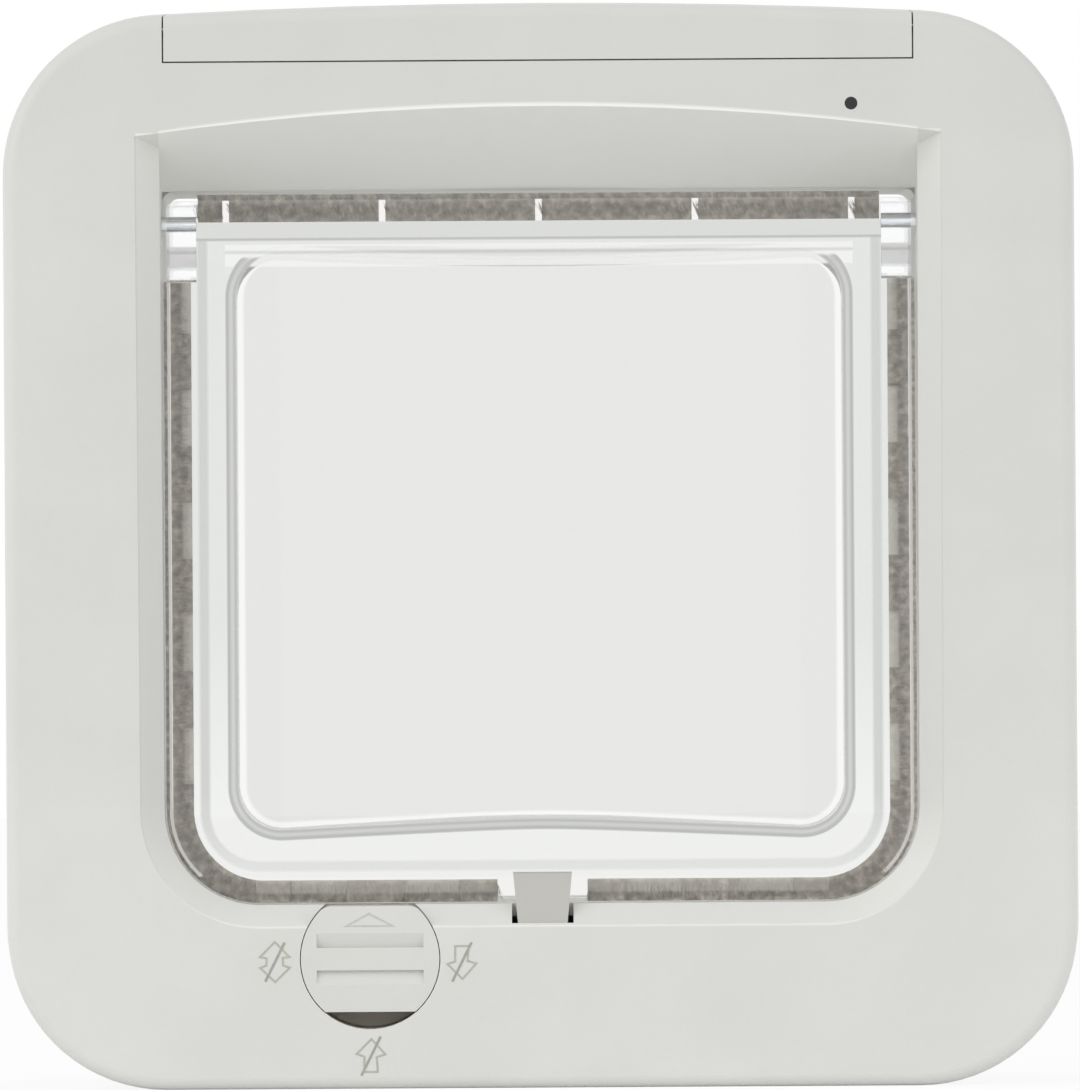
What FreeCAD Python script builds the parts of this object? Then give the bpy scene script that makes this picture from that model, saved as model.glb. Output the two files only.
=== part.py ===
import FreeCAD, Part
import math
import os

# A cat flap that reads a chip: housing for the room side of a door, tunnel, clear flap, outer frame.
# X runs to the right as seen from the room, Y into the door and Z up, in millimetres.
# The origin is the centre of the opening, in the plane where the housing meets the door.

V = FreeCAD.Vector

# Opening, shared by housing, tunnel and flap
OPENING_W = 147.3
OPENING_H = 139.4
OPENING_R = 18.5
OPENING_TOP_R = 2.0

# Outline of the two frames, measured out from the opening
SIDE_W = 31.35
FOOT_H = 35.8
HEAD_ROOM = 7.45
FRAME_R = 31.5
CROWN_RISE = 1.8
WALL = 2.5
DRAFT_DEG = 2.0
EDGE_R = 2.3

# Front of the housing, deep at the top and shallow at the lock
LOW_DEPTH = 28.0
FRONT_SLOPE_DEG = 8.9
BEND_R = 80.0
BEND_LEAD = 0.5
CHAMFER_W = 4.6
CHAMFER_FOOT = 4.1
CHAMFER_D = 8.0
SCOOP_BACK = 16.0
SCOOP_HALF = 75.1
SCOOP_END_RISE = 10.6
SCOOP_MID_RISE = 15.6
SCOOP_OVERRUN = 1.5

# Door, tunnel and outer frame
DOOR_T = 44.0
OUTER_DEPTH = 18.0
TUNNEL_REACH = 8.0
THROAT_END = 5.0
PLATE_T = 2.5
SLIP = 0.3
FLANGE_REACH = 5.5
FLANGE_RISE = 1.5

# Flap
FLAP_T = 2.0
FLAP_FRONT = 16.5
FLAP_GAP = 1.0
FLAP_TOP_GAP = 1.9
PIVOT_Y = -14.0
PIVOT_DROP = 6.5
PIN_R = 1.5
PIN_PLAY = 0.05
PIN_REACH = 7.0
BUSH_WALL = 1.5
BUSH_L = 7.5
LUG_W = 5.8
LUG_LOW = 11.3
LUG_HIGH = 3.8
LUG_BACK = 4.5
DISH_SIDE = 13.35
DISH_FOOT = 13.1
DISH_FOOT_RISE = 2.7
DISH_FOOT_R = 400.0
DISH_HEAD = 10.0
DISH_R = 9.0
DISH_DEPTH = 8.0
DISH_DRAFT = 0.1
DISH_TOP_DRAFT = 0.38
PANE_R = 339.0
LAND_T = 0.5
LAND_IN = 7.4
PILE_W = 5.35
PILE_FOOT_W = 4.35
PILE_T = 2.5
PILE_PROUD = 0.7
TOP_PILE_GAP = 0.7
TOP_PILE_W = 5.4
CHANNEL_WALL = 1.7
RIM_T = 0.6
RIM_END = 5.5
TOOTH_PITCH = 22.0
TOOTH_L = 11.0
TOOTH_W = 5.5
TOOTH_T = 1.0
TOOTH_IN = 1.9
TOOTH_DROP = 10.3
FOOT_TOOTH_SIDE = 23.4
FOOT_TOOTH_COUNT = 2
RIB_COUNT = 5
RIB_END = 5.45
RIB_W = 1.3
RIB_PROUD = 0.6
TOP_BAR_H = 3.6
CATCH_HALF = 8.8
CATCH_H = 4.0
CATCH_T = 4.5

# Rotary lock
KNOB_DROP = 10.5
KNOB_R = 13.5
KNOB_FLAT = 10.3
KNOB_SHOULDER_R = 3.5
KNOB_GAP = 0.2
KNOB_NECK_R = 9.5
KNOB_FRONT_BACK = 17.0
KNOB_REAR_FRONT = 11.6
KNOB_REAR_BACK = 9.3
CUP_WALL = 1.85
WEB_FRONT = 9.0
WEB_T = 2.0
SPINDLE_R = 4.0
SPINDLE_PLAY = 0.05
CLIP_T = 0.8
CLIP_R = 6.6
CLIP_GROOVE_R = 3.2
HUB_R = 6.0
HUB_T = 2.7
NOTCH_R = 1.3
GRIP_HALF = 2.2
GRIP_L = 20.8
GRIP_SCOOP = 2.8
GRIP_DEPTH = 1.0
SPRING_T = 0.4

# Electric latch with its rack, pinion and motor
LATCH_RISE = 6.1
LATCH_DROP = 4.1
LATCH_TOP_HALF = 5.75
LATCH_FOOT_HALF = 4.8
LATCH_NOSE_T = 3.0
LATCH_SET = 1.0
LATCH_GAP = 0.25
LATCH_TRAVEL = 6.5
STEM_BACK_HALF = 4.0
STEM_LIP = 0.75
STEM_TAIL = 4.6
GEAR_MODULE = 0.5
GEAR_TEETH = 18
GEAR_BACKLASH = 0.16
GEAR_ROOT = 1.25
GEAR_TIP = 0.9
GEAR_ROOT_FLARE = 0.3
GEAR_TIP_TAPER = 0.38
PRESSURE_DEG = 20.0
RACK_TEETH = 9
PINION_DROP = 10.2
SHAFT_R = 0.8
MOTOR_R = 6.0
MOTOR_SET = 1.5
MOTOR_BACK = 4.0

# Cells and their tray
CELL_R = 7.25
CELL_L = 49.5
CELL_GAP = 0.5
CELL_ROOM = 2.55
NUB_R = 2.75
NUB_L = 1.0
BAY_INNER = 16.0
SPRING_ROOM = 4.5
TRAY_WALL = 1.2
TRAY_ROOM = 1.55
TRAY_RISE = 5.2
CONTACT_T = 0.4
BATTERY_SPRING_R = 3.2
BATTERY_SPRING_WIRE = 0.4

# Circuit board, learn button, status light and reader coil
BOARD_LIFT = 6.8
BOARD_T = 1.6
BOARD_FRONT = 20.0
BOARD_BACK = 6.0
BOARD_EDGE = 2.9
POST_R = 2.2
PART_GAP = 3.0
SWITCH_SIZE = 6.0
SWITCH_H = 3.5
SWITCH_Y = -13.0
CHIP_L = 12.0
CHIP_W = 8.0
CHIP_H = 1.5
READER_L = 7.0
READER_W = 6.0
PLUG_L = 8.0
PLUG_W = 6.0
PLUG_H = 3.5
RESISTOR_L = 1.6
RESISTOR_W = 0.8
RESISTOR_H = 0.6
RESISTOR_PITCH = 2.5
CAPACITOR_R = 2.0
CAPACITOR_H = 4.0
CAPACITOR_PITCH = 5.0
BUTTON_R = 2.0
BUTTON_CAP_R = 3.6
BUTTON_PLAY = 0.05
BUTTON_TRAVEL = 0.6
BUTTON_RISE = 4.6
BUTTON_CAP_T = 1.4
LED_X = 60.7
LED_DROP = 8.7
LED_R = 1.25
LED_RIM_R = 1.9
LED_L = 6.0
COIL_SET = 1.8
COIL_W = 6.0
COIL_T = 2.4
COIL_RIB_T = 1.4

# Battery cover
COVER_W = 145.4
COVER_H = 12.3
COVER_BACK = 3.0
COVER_GAP = 0.3
LEDGE_W = 2.5
LEDGE_T = 1.2

# Screws
SCREW_IN = 10.7
SCREW_ROOM = 0.7
SCREW_R = 2.0
SCREW_HEAD_R = 3.8
SCREW_HEAD_T = 2.6
SCREW_SLOT_W = 0.8
SCREW_GRIP = 20.0
BOSS_R = 4.1
CAP_T = 2.0
PLATE_SCREW_IN = 13.0
PLATE_SCREW_END = 21.0
PLATE_SCREW_R = 1.3
PLATE_SCREW_HEAD_R = 2.8
PLATE_SCREW_L = 12.0
PLATE_BOSS_R = 3.4

# Values worked out from the sizes above
RUN_OUT = 1.0
FAR = 90.0
HALF_W = OPENING_W / 2
HALF_H = OPENING_H / 2
FRAME_W = OPENING_W + 2 * SIDE_W
FRAME_DROP = HALF_H + FOOT_H
DRAFT = math.tan(math.radians(DRAFT_DEG))
SLOPE = math.tan(math.radians(FRONT_SLOPE_DEG))
CORNER_Z = -HALF_H + OPENING_R
BEND_RUN = BEND_R * math.tan(math.radians(FRONT_SLOPE_DEG) / 2)
LOW_BEND_Z = CORNER_Z + BEND_RUN + BEND_LEAD
HIGH_BEND_Z = HALF_H
HIGH_DEPTH = LOW_DEPTH + (HIGH_BEND_Z - LOW_BEND_Z) * SLOPE
CELL_PITCH = 2 * CELL_R + CELL_GAP
CELL_BACK_Y = -PLATE_T - TRAY_ROOM - TRAY_WALL - CELL_R
CELL_FRONT = -CELL_BACK_Y + CELL_PITCH + CELL_R
SCOOP_OVER_CELLS = SCOOP_MID_RISE * (CELL_FRONT - SCOOP_BACK) / (HIGH_DEPTH - SCOOP_BACK)
CELL_Z = HALF_H + SCOOP_OVER_CELLS + WALL + CELL_ROOM + CELL_R
FRAME_TOP = CELL_Z + CELL_R + HEAD_ROOM
COVER_SEAM_Z = FRAME_TOP - COVER_H
LED_Z = COVER_SEAM_Z - LED_DROP
BAY_L = CELL_L + NUB_L + 2 * CONTACT_T + SPRING_ROOM
TRAY_LOW = CELL_Z - CELL_R - TRAY_WALL
TRAY_TOP = CELL_Z + TRAY_RISE
TRAY_HALF = BAY_INNER + BAY_L + TRAY_WALL
TRAY_BACK = CELL_BACK_Y + CELL_R + TRAY_WALL
TRAY_FRONT = CELL_BACK_Y - CELL_PITCH - CELL_R - TRAY_WALL
BOARD_Z = HALF_H + BOARD_LIFT
BOARD_TOP = BOARD_Z + BOARD_T
BUTTON_TOP = TRAY_TOP + BUTTON_RISE
CHIP_X = -SWITCH_SIZE / 2 - 2 * PART_GAP - RESISTOR_PITCH - RESISTOR_L - CHIP_L
CAPACITOR_X = CHIP_X - PART_GAP - CAPACITOR_R
BOARD_HALF = -CAPACITOR_X + CAPACITOR_PITCH + CAPACITOR_R + BOARD_EDGE
OUTER_END = DOOR_T + OUTER_DEPTH
TUNNEL_END = OUTER_END + TUNNEL_REACH
COIL_FRONT = OUTER_END - WALL - SLIP - COIL_SET - COIL_RIB_T - COIL_W
SCREW_X = HALF_W - SCREW_IN
SCREW_Z = HALF_H + WALL + FLANGE_RISE + SCREW_ROOM + BOSS_R
PLATE_SCREW_X = FRAME_W / 2 - PLATE_SCREW_IN
PIVOT_Z = HALF_H - PIVOT_DROP
FLAP_HALF = HALF_W - FLAP_GAP
FLAP_FOOT = -HALF_H + FLAP_GAP
FLAP_TOP = HALF_H - FLAP_TOP_GAP
FLAP_BACK = FLAP_FRONT - FLAP_T
PILE_BACK = FLAP_BACK - PILE_T
PILE_INNER = (PILE_PROUD - PILE_W, PILE_PROUD - PILE_FOOT_W)
TOP_PILE_HIGH = HALF_H - TOP_PILE_GAP
TOP_PILE_LOW = TOP_PILE_HIGH - TOP_PILE_W
TOP_PILE_HALF = FLAP_HALF - LUG_W - SLIP
TOP_BAR_LOW = TOP_PILE_LOW - TOP_BAR_H
RIB_PITCH = 2 * (TOP_PILE_HALF - RIB_END) / (RIB_COUNT - 1)
TOOTH_COUNT = int((PIVOT_Z - TOOTH_DROP - TOOTH_L - CORNER_Z) / TOOTH_PITCH) + 1
SLOT_HALF = LATCH_TOP_HALF + LATCH_GAP
KNOB_X = -(SLOT_HALF + WALL + SCREW_X - BOSS_R) / 2
KNOB_Z = -HALF_H - KNOB_DROP
LATCH_TOP = -HALF_H + LATCH_RISE
LATCH_FOOT_Z = -HALF_H - LATCH_DROP
PITCH_R = GEAR_MODULE * GEAR_TEETH / 2
PINION_X = STEM_BACK_HALF + PITCH_R
PINION_Z = LATCH_FOOT_Z - PINION_DROP
LATCH_BACK = FLAP_FRONT + 2 * LATCH_GAP
LATCH_FRONT_TOP = LATCH_BACK + LATCH_NOSE_T
LATCH_FRONT_FOOT = LOW_DEPTH - LATCH_SET
PINION_FRONT = (LATCH_BACK + LOW_DEPTH - WALL) / 2
STEM_FRONT = PINION_FRONT + STEM_LIP
MOTOR_FRONT = LATCH_BACK - MOTOR_SET
STEM_END_Z = PINION_Z - STEM_TAIL


def box(x0, x1, y0, y1, z0, z1):
    return Part.makeBox(x1 - x0, y1 - y0, z1 - z0, V(x0, y0, z0))


def rod_x(y, z, radius, x0, x1):
    return Part.makeCylinder(radius, x1 - x0, V(x0, y, z), V(1, 0, 0))


def rod_y(x, z, radius, y0, y1):
    return Part.makeCylinder(radius, y1 - y0, V(x, y0, z), V(0, 1, 0))


def rod_z(x, y, radius, z0, z1):
    return Part.makeCylinder(radius, z1 - z0, V(x, y, z0), V(0, 0, 1))


def cone_y(x, z, r0, r1, y0, y1):
    return Part.makeCone(r0, r1, y1 - y0, V(x, y0, z), V(0, 1, 0))


def mirrored(shape):
    return shape.mirror(V(0, 0, 0), V(1, 0, 0))


def both_sides(shapes):
    return list(shapes) + [mirrored(shape) for shape in shapes]


def joined(shapes):
    return shapes[0].multiFuse(shapes[1:]).removeSplitter()


def unit(vector):
    return V(vector).normalize()


def rounded_wire(points, radii):
    """Closed flat wire through the points, each corner rounded by its own radius."""
    stretches = []
    for index, corner in enumerate(points):
        radius = radii[index]
        back = unit(points[index - 1] - corner)
        on = unit(points[(index + 1) % len(points)] - corner)
        if radius == 0:
            stretches.append((corner, None, corner))
            continue
        half = back.getAngle(on) / 2
        run = radius / math.tan(half)
        centre = corner + unit(back + on) * (radius / math.sin(half))
        middle = centre + unit(corner - centre) * radius
        stretches.append((corner + back * run, middle, corner + on * run))
    edges = []
    for index, (start, middle, end) in enumerate(stretches):
        if middle is not None:
            edges.append(Part.Arc(start, middle, end).toShape())
        following = stretches[(index + 1) % len(stretches)][0]
        edges.append(Part.LineSegment(end, following).toShape())
    return Part.Wire(edges)


def plate_y(points, radii, y0, y1):
    """Plate between two planes across Y, from corners given as (x, z)."""
    wire = rounded_wire([V(x, y0, z) for x, z in points], radii)
    return Part.Face(wire).extrude(V(0, y1 - y0, 0))


def bar_x(points, radii, x0, x1):
    """Bar along X, from corners given as (y, z)."""
    wire = rounded_wire([V(x0, y, z) for y, z in points], radii)
    return Part.Face(wire).extrude(V(x1 - x0, 0, 0))


def arc_y(x, z, radius, start, end, y):
    def on(angle):
        return V(x + radius * math.cos(angle), y, z + radius * math.sin(angle))
    return Part.Arc(on(start), on((start + end) / 2), on(end)).toShape()


def frame_wire(y, inset, foot_inset):
    """Outline of the frames at depth y, with a crowned top and a flat foot."""
    half = FRAME_W / 2 - inset
    foot = -FRAME_DROP + foot_inset
    corner = FRAME_R - inset
    corner_x = half - corner
    crown = (corner_x ** 2 + CROWN_RISE ** 2) / (2 * CROWN_RISE)
    crown_z = FRAME_TOP - inset - crown
    corner_z = crown_z + math.sqrt((crown - corner) ** 2 - corner_x ** 2)
    turn = math.atan2(corner_z - crown_z, corner_x)
    side = [V(half, y, foot + corner), V(half, y, corner_z)]
    right_foot = arc_y(corner_x, foot + corner, corner, -math.pi / 2, 0, y)
    right_side = Part.LineSegment(side[0], side[1]).toShape()
    right_top = arc_y(corner_x, corner_z, corner, 0, turn, y)
    top = arc_y(0, crown_z, crown, turn, math.pi - turn, y)
    left_top = arc_y(-corner_x, corner_z, corner, math.pi - turn, math.pi, y)
    left_side = Part.LineSegment(V(-half, y, corner_z), V(-half, y, foot + corner)).toShape()
    left_foot = arc_y(-corner_x, foot + corner, corner, math.pi, 1.5 * math.pi, y)
    bottom = Part.LineSegment(V(-corner_x, y, foot), V(corner_x, y, foot)).toShape()
    return Part.Wire([right_foot, right_side, right_top, top, left_top, left_side, left_foot, bottom])


def frame_block(seat_y, end_y, inset):
    """Solid inside the frame outline, drafted away from the seat on the door."""
    depth = abs(end_y - seat_y)
    near = frame_wire(seat_y, inset, inset)
    far = frame_wire(end_y, inset + depth * DRAFT, inset)
    return Part.makeLoft([near, far], True, True)


def profile_face(shift, far_y, z_low, z_high):
    """Side view of the housing's front, moved back by shift and closed by the plane far_y."""
    points = [
        V(0, far_y, z_low),
        V(0, shift - LOW_DEPTH, z_low),
        V(0, shift - LOW_DEPTH, LOW_BEND_Z),
        V(0, shift - HIGH_DEPTH, HIGH_BEND_Z),
        V(0, shift - HIGH_DEPTH, z_high),
        V(0, far_y, z_high),
    ]
    return Part.Face(rounded_wire(points, [0, 0, BEND_R, BEND_R, 0, 0]))


def opening_wire(y, grow, top_grow, foot_grow):
    half = HALF_W + grow
    low = -HALF_H - foot_grow
    high = HALF_H + top_grow
    points = [V(-half, y, low), V(half, y, low), V(half, y, high), V(-half, y, high)]
    low_r = OPENING_R + foot_grow
    return rounded_wire(points, [low_r, low_r, OPENING_TOP_R, OPENING_TOP_R])


def opening_prism(y0, y1, grow):
    return Part.Face(opening_wire(y0, grow, grow, grow)).extrude(V(0, y1 - y0, 0))


def scoop_volume(grow):
    """Space under the sloped ceiling above the opening, from a line at the back to an arc in front."""
    wide = FAR
    bow = SCOOP_MID_RISE - SCOOP_END_RISE
    radius = (SCOOP_HALF ** 2 + bow ** 2) / (2 * bow)
    drop = radius - math.sqrt(radius ** 2 - wide ** 2)
    back_z = HALF_H + grow
    middle_z = back_z + SCOOP_MID_RISE * SCOOP_OVERRUN
    end_z = back_z + (SCOOP_MID_RISE - drop) * SCOOP_OVERRUN
    front_y = -SCOOP_BACK - (HIGH_DEPTH - SCOOP_BACK) * SCOOP_OVERRUN
    back = [V(-wide, -SCOOP_BACK, 0), V(wide, -SCOOP_BACK, 0),
            V(wide, -SCOOP_BACK, back_z), V(-wide, -SCOOP_BACK, back_z)]
    front = [V(-wide, front_y, 0), V(wide, front_y, 0), V(wide, front_y, end_z), V(-wide, front_y, end_z)]
    back_edges = [Part.LineSegment(back[i], back[(i + 1) % 4]).toShape() for i in range(4)]
    front_edges = [Part.LineSegment(front[i], front[(i + 1) % 4]).toShape() for i in range(4)]
    front_edges[2] = Part.Arc(front[2], V(0, front_y, middle_z), front[3]).toShape()
    return Part.makeLoft([Part.Wire(back_edges), Part.Wire(front_edges)], True, True)


def recess_volume(grow):
    """Everything open in front of the flap: the opening, its chamfer and the scoop above it."""
    half = HALF_W + grow
    through = opening_prism(-FAR, RUN_OUT, grow)
    back_wire = opening_wire(CHAMFER_D - LOW_DEPTH, grow, grow, grow)
    front_wire = opening_wire(-CHAMFER_D - LOW_DEPTH, grow + 2 * CHAMFER_W, grow, grow + 2 * CHAMFER_FOOT)
    foot = Part.makeLoft([back_wire, front_wire], True, True)
    foot = foot.common(box(-FAR, FAR, -FAR, 0, -FAR, CORNER_Z))
    face = profile_face(CHAMFER_D, -FAR, CORNER_Z, FRAME_TOP)
    face.translate(V(half, 0, 0))
    right = face.extrude(V(2 * CHAMFER_W, -2 * CHAMFER_D, 0))
    middle = box(-half, half, -FAR, 0, CORNER_Z, FRAME_TOP)
    sides = middle.multiFuse([right, mirrored(right)])
    below = box(-FAR, FAR, -FAR, 0, CORNER_Z, HALF_H + grow)
    upper = sides.common(below.fuse(scoop_volume(grow)))
    return through.multiFuse([foot, upper])


def front_edges(solid):
    """Edges between the front faces and the walls round them."""
    found = []
    for edge in solid.Edges:
        faces = solid.ancestorsOfType(edge, Part.Face)
        turns = []
        for face in faces:
            u0, u1, v0, v1 = face.ParameterRange
            turns.append(abs(face.normalAt((u0 + u1) / 2, (v0 + v1) / 2).y))
        if len(turns) == 2 and max(turns) > 0.9 and min(turns) < 0.5 and edge.BoundBox.YMin < -RUN_OUT:
            found.append(edge)
    return found


def housing_block():
    block = frame_block(0, -HIGH_DEPTH - CHAMFER_D, 0)
    front = profile_face(0, 0, -FRAME_DROP - RUN_OUT, FRAME_TOP + RUN_OUT)
    front.translate(V(-FRAME_W, 0, 0))
    block = block.common(front.extrude(V(2 * FRAME_W, 0, 0)))
    return block.makeFillet(EDGE_R, front_edges(block))


def housing_space():
    """Hollow inside the housing, open at the back."""
    inner = frame_block(RUN_OUT, -HIGH_DEPTH - CHAMFER_D, WALL)
    front = profile_face(WALL, RUN_OUT, -FRAME_DROP - RUN_OUT, FRAME_TOP + RUN_OUT)
    front.translate(V(-FRAME_W, 0, 0))
    return inner.common(front.extrude(V(2 * FRAME_W, 0, 0)))


def cover_region(gap):
    half = COVER_W / 2 + gap
    return box(-half, half, -FAR, -COVER_BACK + gap, COVER_SEAM_Z - gap, FRAME_TOP + FAR)


def front_y(z):
    """Depth of the housing's inner front surface at height z, without the blends."""
    low = WALL - LOW_DEPTH
    high = WALL - HIGH_DEPTH
    if z <= LOW_BEND_Z:
        return low
    if z >= HIGH_BEND_Z:
        return high
    return low + (high - low) * (z - LOW_BEND_Z) / (HIGH_BEND_Z - LOW_BEND_Z)


def plate_screw_places():
    heights = (PLATE_SCREW_END - FRAME_DROP, 0, FRAME_TOP - PLATE_SCREW_END)
    return [(side * PLATE_SCREW_X, z) for side in (-1, 1) for z in heights]


def frame_screw_places():
    return [(x, z) for x in (-SCREW_X, SCREW_X) for z in (-SCREW_Z, SCREW_Z)]


def housing_bosses():
    """Screw bosses, pivot bosses, board posts and tray posts inside the housing."""
    parts = []
    for x, z in plate_screw_places():
        parts.append(rod_y(x, z, PLATE_BOSS_R, front_y(z), -PLATE_T))
    for x, z in frame_screw_places():
        back = -PLATE_T
        front = -PLATE_T - SCREW_GRIP
        if z > 0:
            parts.append(rod_y(x, z, BOSS_R, front, back))
            parts.append(box(x - WALL / 2, x + WALL / 2, front, -THROAT_END, HALF_H + WALL, z))
        else:
            parts.append(rod_y(x, z, BOSS_R, front_y(z), back))
    bush_r = PIN_R + PIN_PLAY + BUSH_WALL
    pivot = rod_x(PIVOT_Y, PIVOT_Z, bush_r + WALL, HALF_W + WALL, HALF_W + PIN_PLAY + BUSH_L)
    parts += both_sides([pivot])
    for x in (-BOARD_HALF + 2 * POST_R, BOARD_HALF - 2 * POST_R):
        for y in (-BOARD_FRONT + 1.5 * POST_R, -BOARD_BACK - POST_R):
            parts.append(rod_z(x, y, POST_R, HALF_H + WALL, BOARD_Z))
    for x in (-BOARD_HALF - 2 * POST_R, BOARD_HALF + 2 * POST_R):
        parts.append(rod_z(x, -BOARD_BACK - 2 * POST_R, POST_R, HALF_H + WALL, TRAY_LOW))
    return parts


def knob_cup():
    return rod_y(KNOB_X, KNOB_Z, KNOB_R + KNOB_GAP + CUP_WALL, WALL - LOW_DEPTH, -WEB_FRONT + WEB_T)


def latch_guides():
    """Rails on both sides of the latch's stem and a cradle under its motor."""
    left = -STEM_BACK_HALF - SLIP
    front = WALL - LOW_DEPTH
    inner_foot = -FRAME_DROP + WALL
    top = LATCH_FOOT_Z - LATCH_TRAVEL
    cradle_half = MOTOR_R + WALL
    cradle = box(PINION_X - cradle_half, PINION_X + cradle_half, -MOTOR_FRONT + WALL, -MOTOR_BACK - WALL,
                 inner_foot, PINION_Z)
    return [
        box(left - WALL, left, front, -LATCH_BACK + WALL, inner_foot, top),
        box(left, -left, -LATCH_BACK + SLIP, -LATCH_BACK + WALL, inner_foot, top),
        cradle,
    ]


def lock_openings():
    """Bores for the lock knob and the latch, cut through housing and guides."""
    bore = rod_y(KNOB_X, KNOB_Z, KNOB_R + KNOB_GAP, -FAR, -WEB_FRONT)
    spindle = rod_y(KNOB_X, KNOB_Z, SPINDLE_R + SPINDLE_PLAY, -WEB_FRONT - WEB_T, -THROAT_END)
    slot = box(-SLOT_HALF, SLOT_HALF, -LATCH_FRONT_FOOT - LATCH_GAP, -LATCH_BACK + LATCH_GAP,
               LATCH_FOOT_Z - LATCH_TRAVEL, -HALF_H + RUN_OUT)
    motor = rod_y(PINION_X, PINION_Z, MOTOR_R, -MOTOR_FRONT, -MOTOR_BACK)
    return [bore, spindle, slot, motor]


def screw_holes():
    cuts = []
    for x, z in plate_screw_places():
        cuts.append(rod_y(x, z, PLATE_SCREW_R, -PLATE_SCREW_L, 0))
    for x, z in frame_screw_places():
        cuts.append(rod_y(x, z, SCREW_R, -PLATE_T - SCREW_GRIP + WALL, 0))
    return cuts


def cover_ledge():
    """Lip behind the cover's seam, standing on the inside of the housing's front."""
    half = COVER_W / 2
    front = WALL - HIGH_DEPTH
    behind = front + SLIP
    back = behind + LEDGE_T
    top = CELL_Z + CELL_R
    lip = box(-half - LEDGE_W, half + LEDGE_W, front, back, COVER_SEAM_Z - LEDGE_W, top)
    window = box(-half + LEDGE_W, half - LEDGE_W, front, back, COVER_SEAM_Z + LEDGE_W, top)
    return lip.cut([window, box(-half, half, front, behind, COVER_SEAM_Z, top)])


def inner_frame():
    shell = housing_block().cut(recess_volume(0))
    space = housing_space()
    rear = space.common(box(-FRAME_W, FRAME_W, -THROAT_END, RUN_OUT, -FRAME_W, FRAME_W))
    shell = shell.cut(space.cut(recess_volume(WALL))).cut(rear)
    shell = shell.cut(cover_region(COVER_GAP / 2))
    inside = space.cut(recess_volume(0))
    added = joined(housing_bosses() + [knob_cup(), cover_ledge()] + latch_guides()).common(inside)
    body = shell.multiFuse(added.Solids)
    led_boss = rod_y(LED_X, LED_Z, LED_RIM_R + WALL / 2, WALL / 2 - HIGH_DEPTH, LED_L - HIGH_DEPTH)
    body = body.multiFuse([led_boss]).cut(recess_volume(0))
    led_bore = rod_y(LED_X, LED_Z, LED_R, -FAR, WALL - HIGH_DEPTH)
    led_rim = rod_y(LED_X, LED_Z, LED_RIM_R, WALL - HIGH_DEPTH, LED_L - HIGH_DEPTH)
    bush_r = PIN_R + PIN_PLAY + BUSH_WALL
    bushes = both_sides([rod_x(PIVOT_Y, PIVOT_Z, bush_r, HALF_W - RUN_OUT, HALF_W + PIN_PLAY + BUSH_L)])
    body = body.cut(lock_openings() + screw_holes() + [led_bore, led_rim] + bushes)
    return body.removeSplitter()


def battery_cover():
    shell = housing_block().cut(housing_space())
    cover = shell.common(cover_region(-COVER_GAP / 2)).cut(recess_volume(0))
    return cover


def tunnel():
    """Tube through the door with a flange behind the housing and ribs round the reader coil."""
    tube = opening_prism(-THROAT_END, TUNNEL_END, WALL)
    flange_half = HALF_W + WALL + FLANGE_REACH
    flange_top = HALF_H + WALL + FLANGE_RISE
    flange = box(-flange_half, flange_half, -THROAT_END, -PLATE_T, -flange_top, flange_top)
    ribs = []
    for y in (COIL_FRONT - COIL_RIB_T, COIL_FRONT + COIL_W):
        ribs.append(opening_prism(y, y + COIL_RIB_T, WALL + COIL_T))
    solid = joined([tube, flange] + ribs)
    return solid.cut(opening_prism(-THROAT_END - RUN_OUT, TUNNEL_END + RUN_OUT, 0))


def antenna_coil():
    outer = opening_prism(COIL_FRONT, COIL_FRONT + COIL_W, WALL + COIL_T)
    return outer.cut(opening_prism(COIL_FRONT, COIL_FRONT + COIL_W, WALL))


def back_plate():
    """Plate that closes the housing's back and lies on the door."""
    inset = WALL + 2 * SLIP
    plate = Part.Face(frame_wire(-PLATE_T, inset, inset)).extrude(V(0, PLATE_T, 0))
    cuts = [opening_prism(-PLATE_T - RUN_OUT, RUN_OUT, WALL + SLIP)]
    for x, z in plate_screw_places():
        cuts.append(rod_y(x, z, PLATE_SCREW_R, -PLATE_T, 0))
        cuts.append(cone_y(x, z, PLATE_SCREW_R, PLATE_SCREW_HEAD_R, PLATE_SCREW_R - PLATE_SCREW_HEAD_R, 0))
    for x, z in frame_screw_places():
        cuts.append(rod_y(x, z, SCREW_R + SLIP, -PLATE_T, 0))
    return plate.cut(cuts)


def back_plate_screws():
    screws = []
    for x, z in plate_screw_places():
        shank = rod_y(x, z, PLATE_SCREW_R, -PLATE_SCREW_L, 0)
        head = cone_y(x, z, PLATE_SCREW_R, PLATE_SCREW_HEAD_R, PLATE_SCREW_R - PLATE_SCREW_HEAD_R, 0)
        screws.append(shank.fuse(head).removeSplitter())
    return Part.makeCompound(screws)


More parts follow.
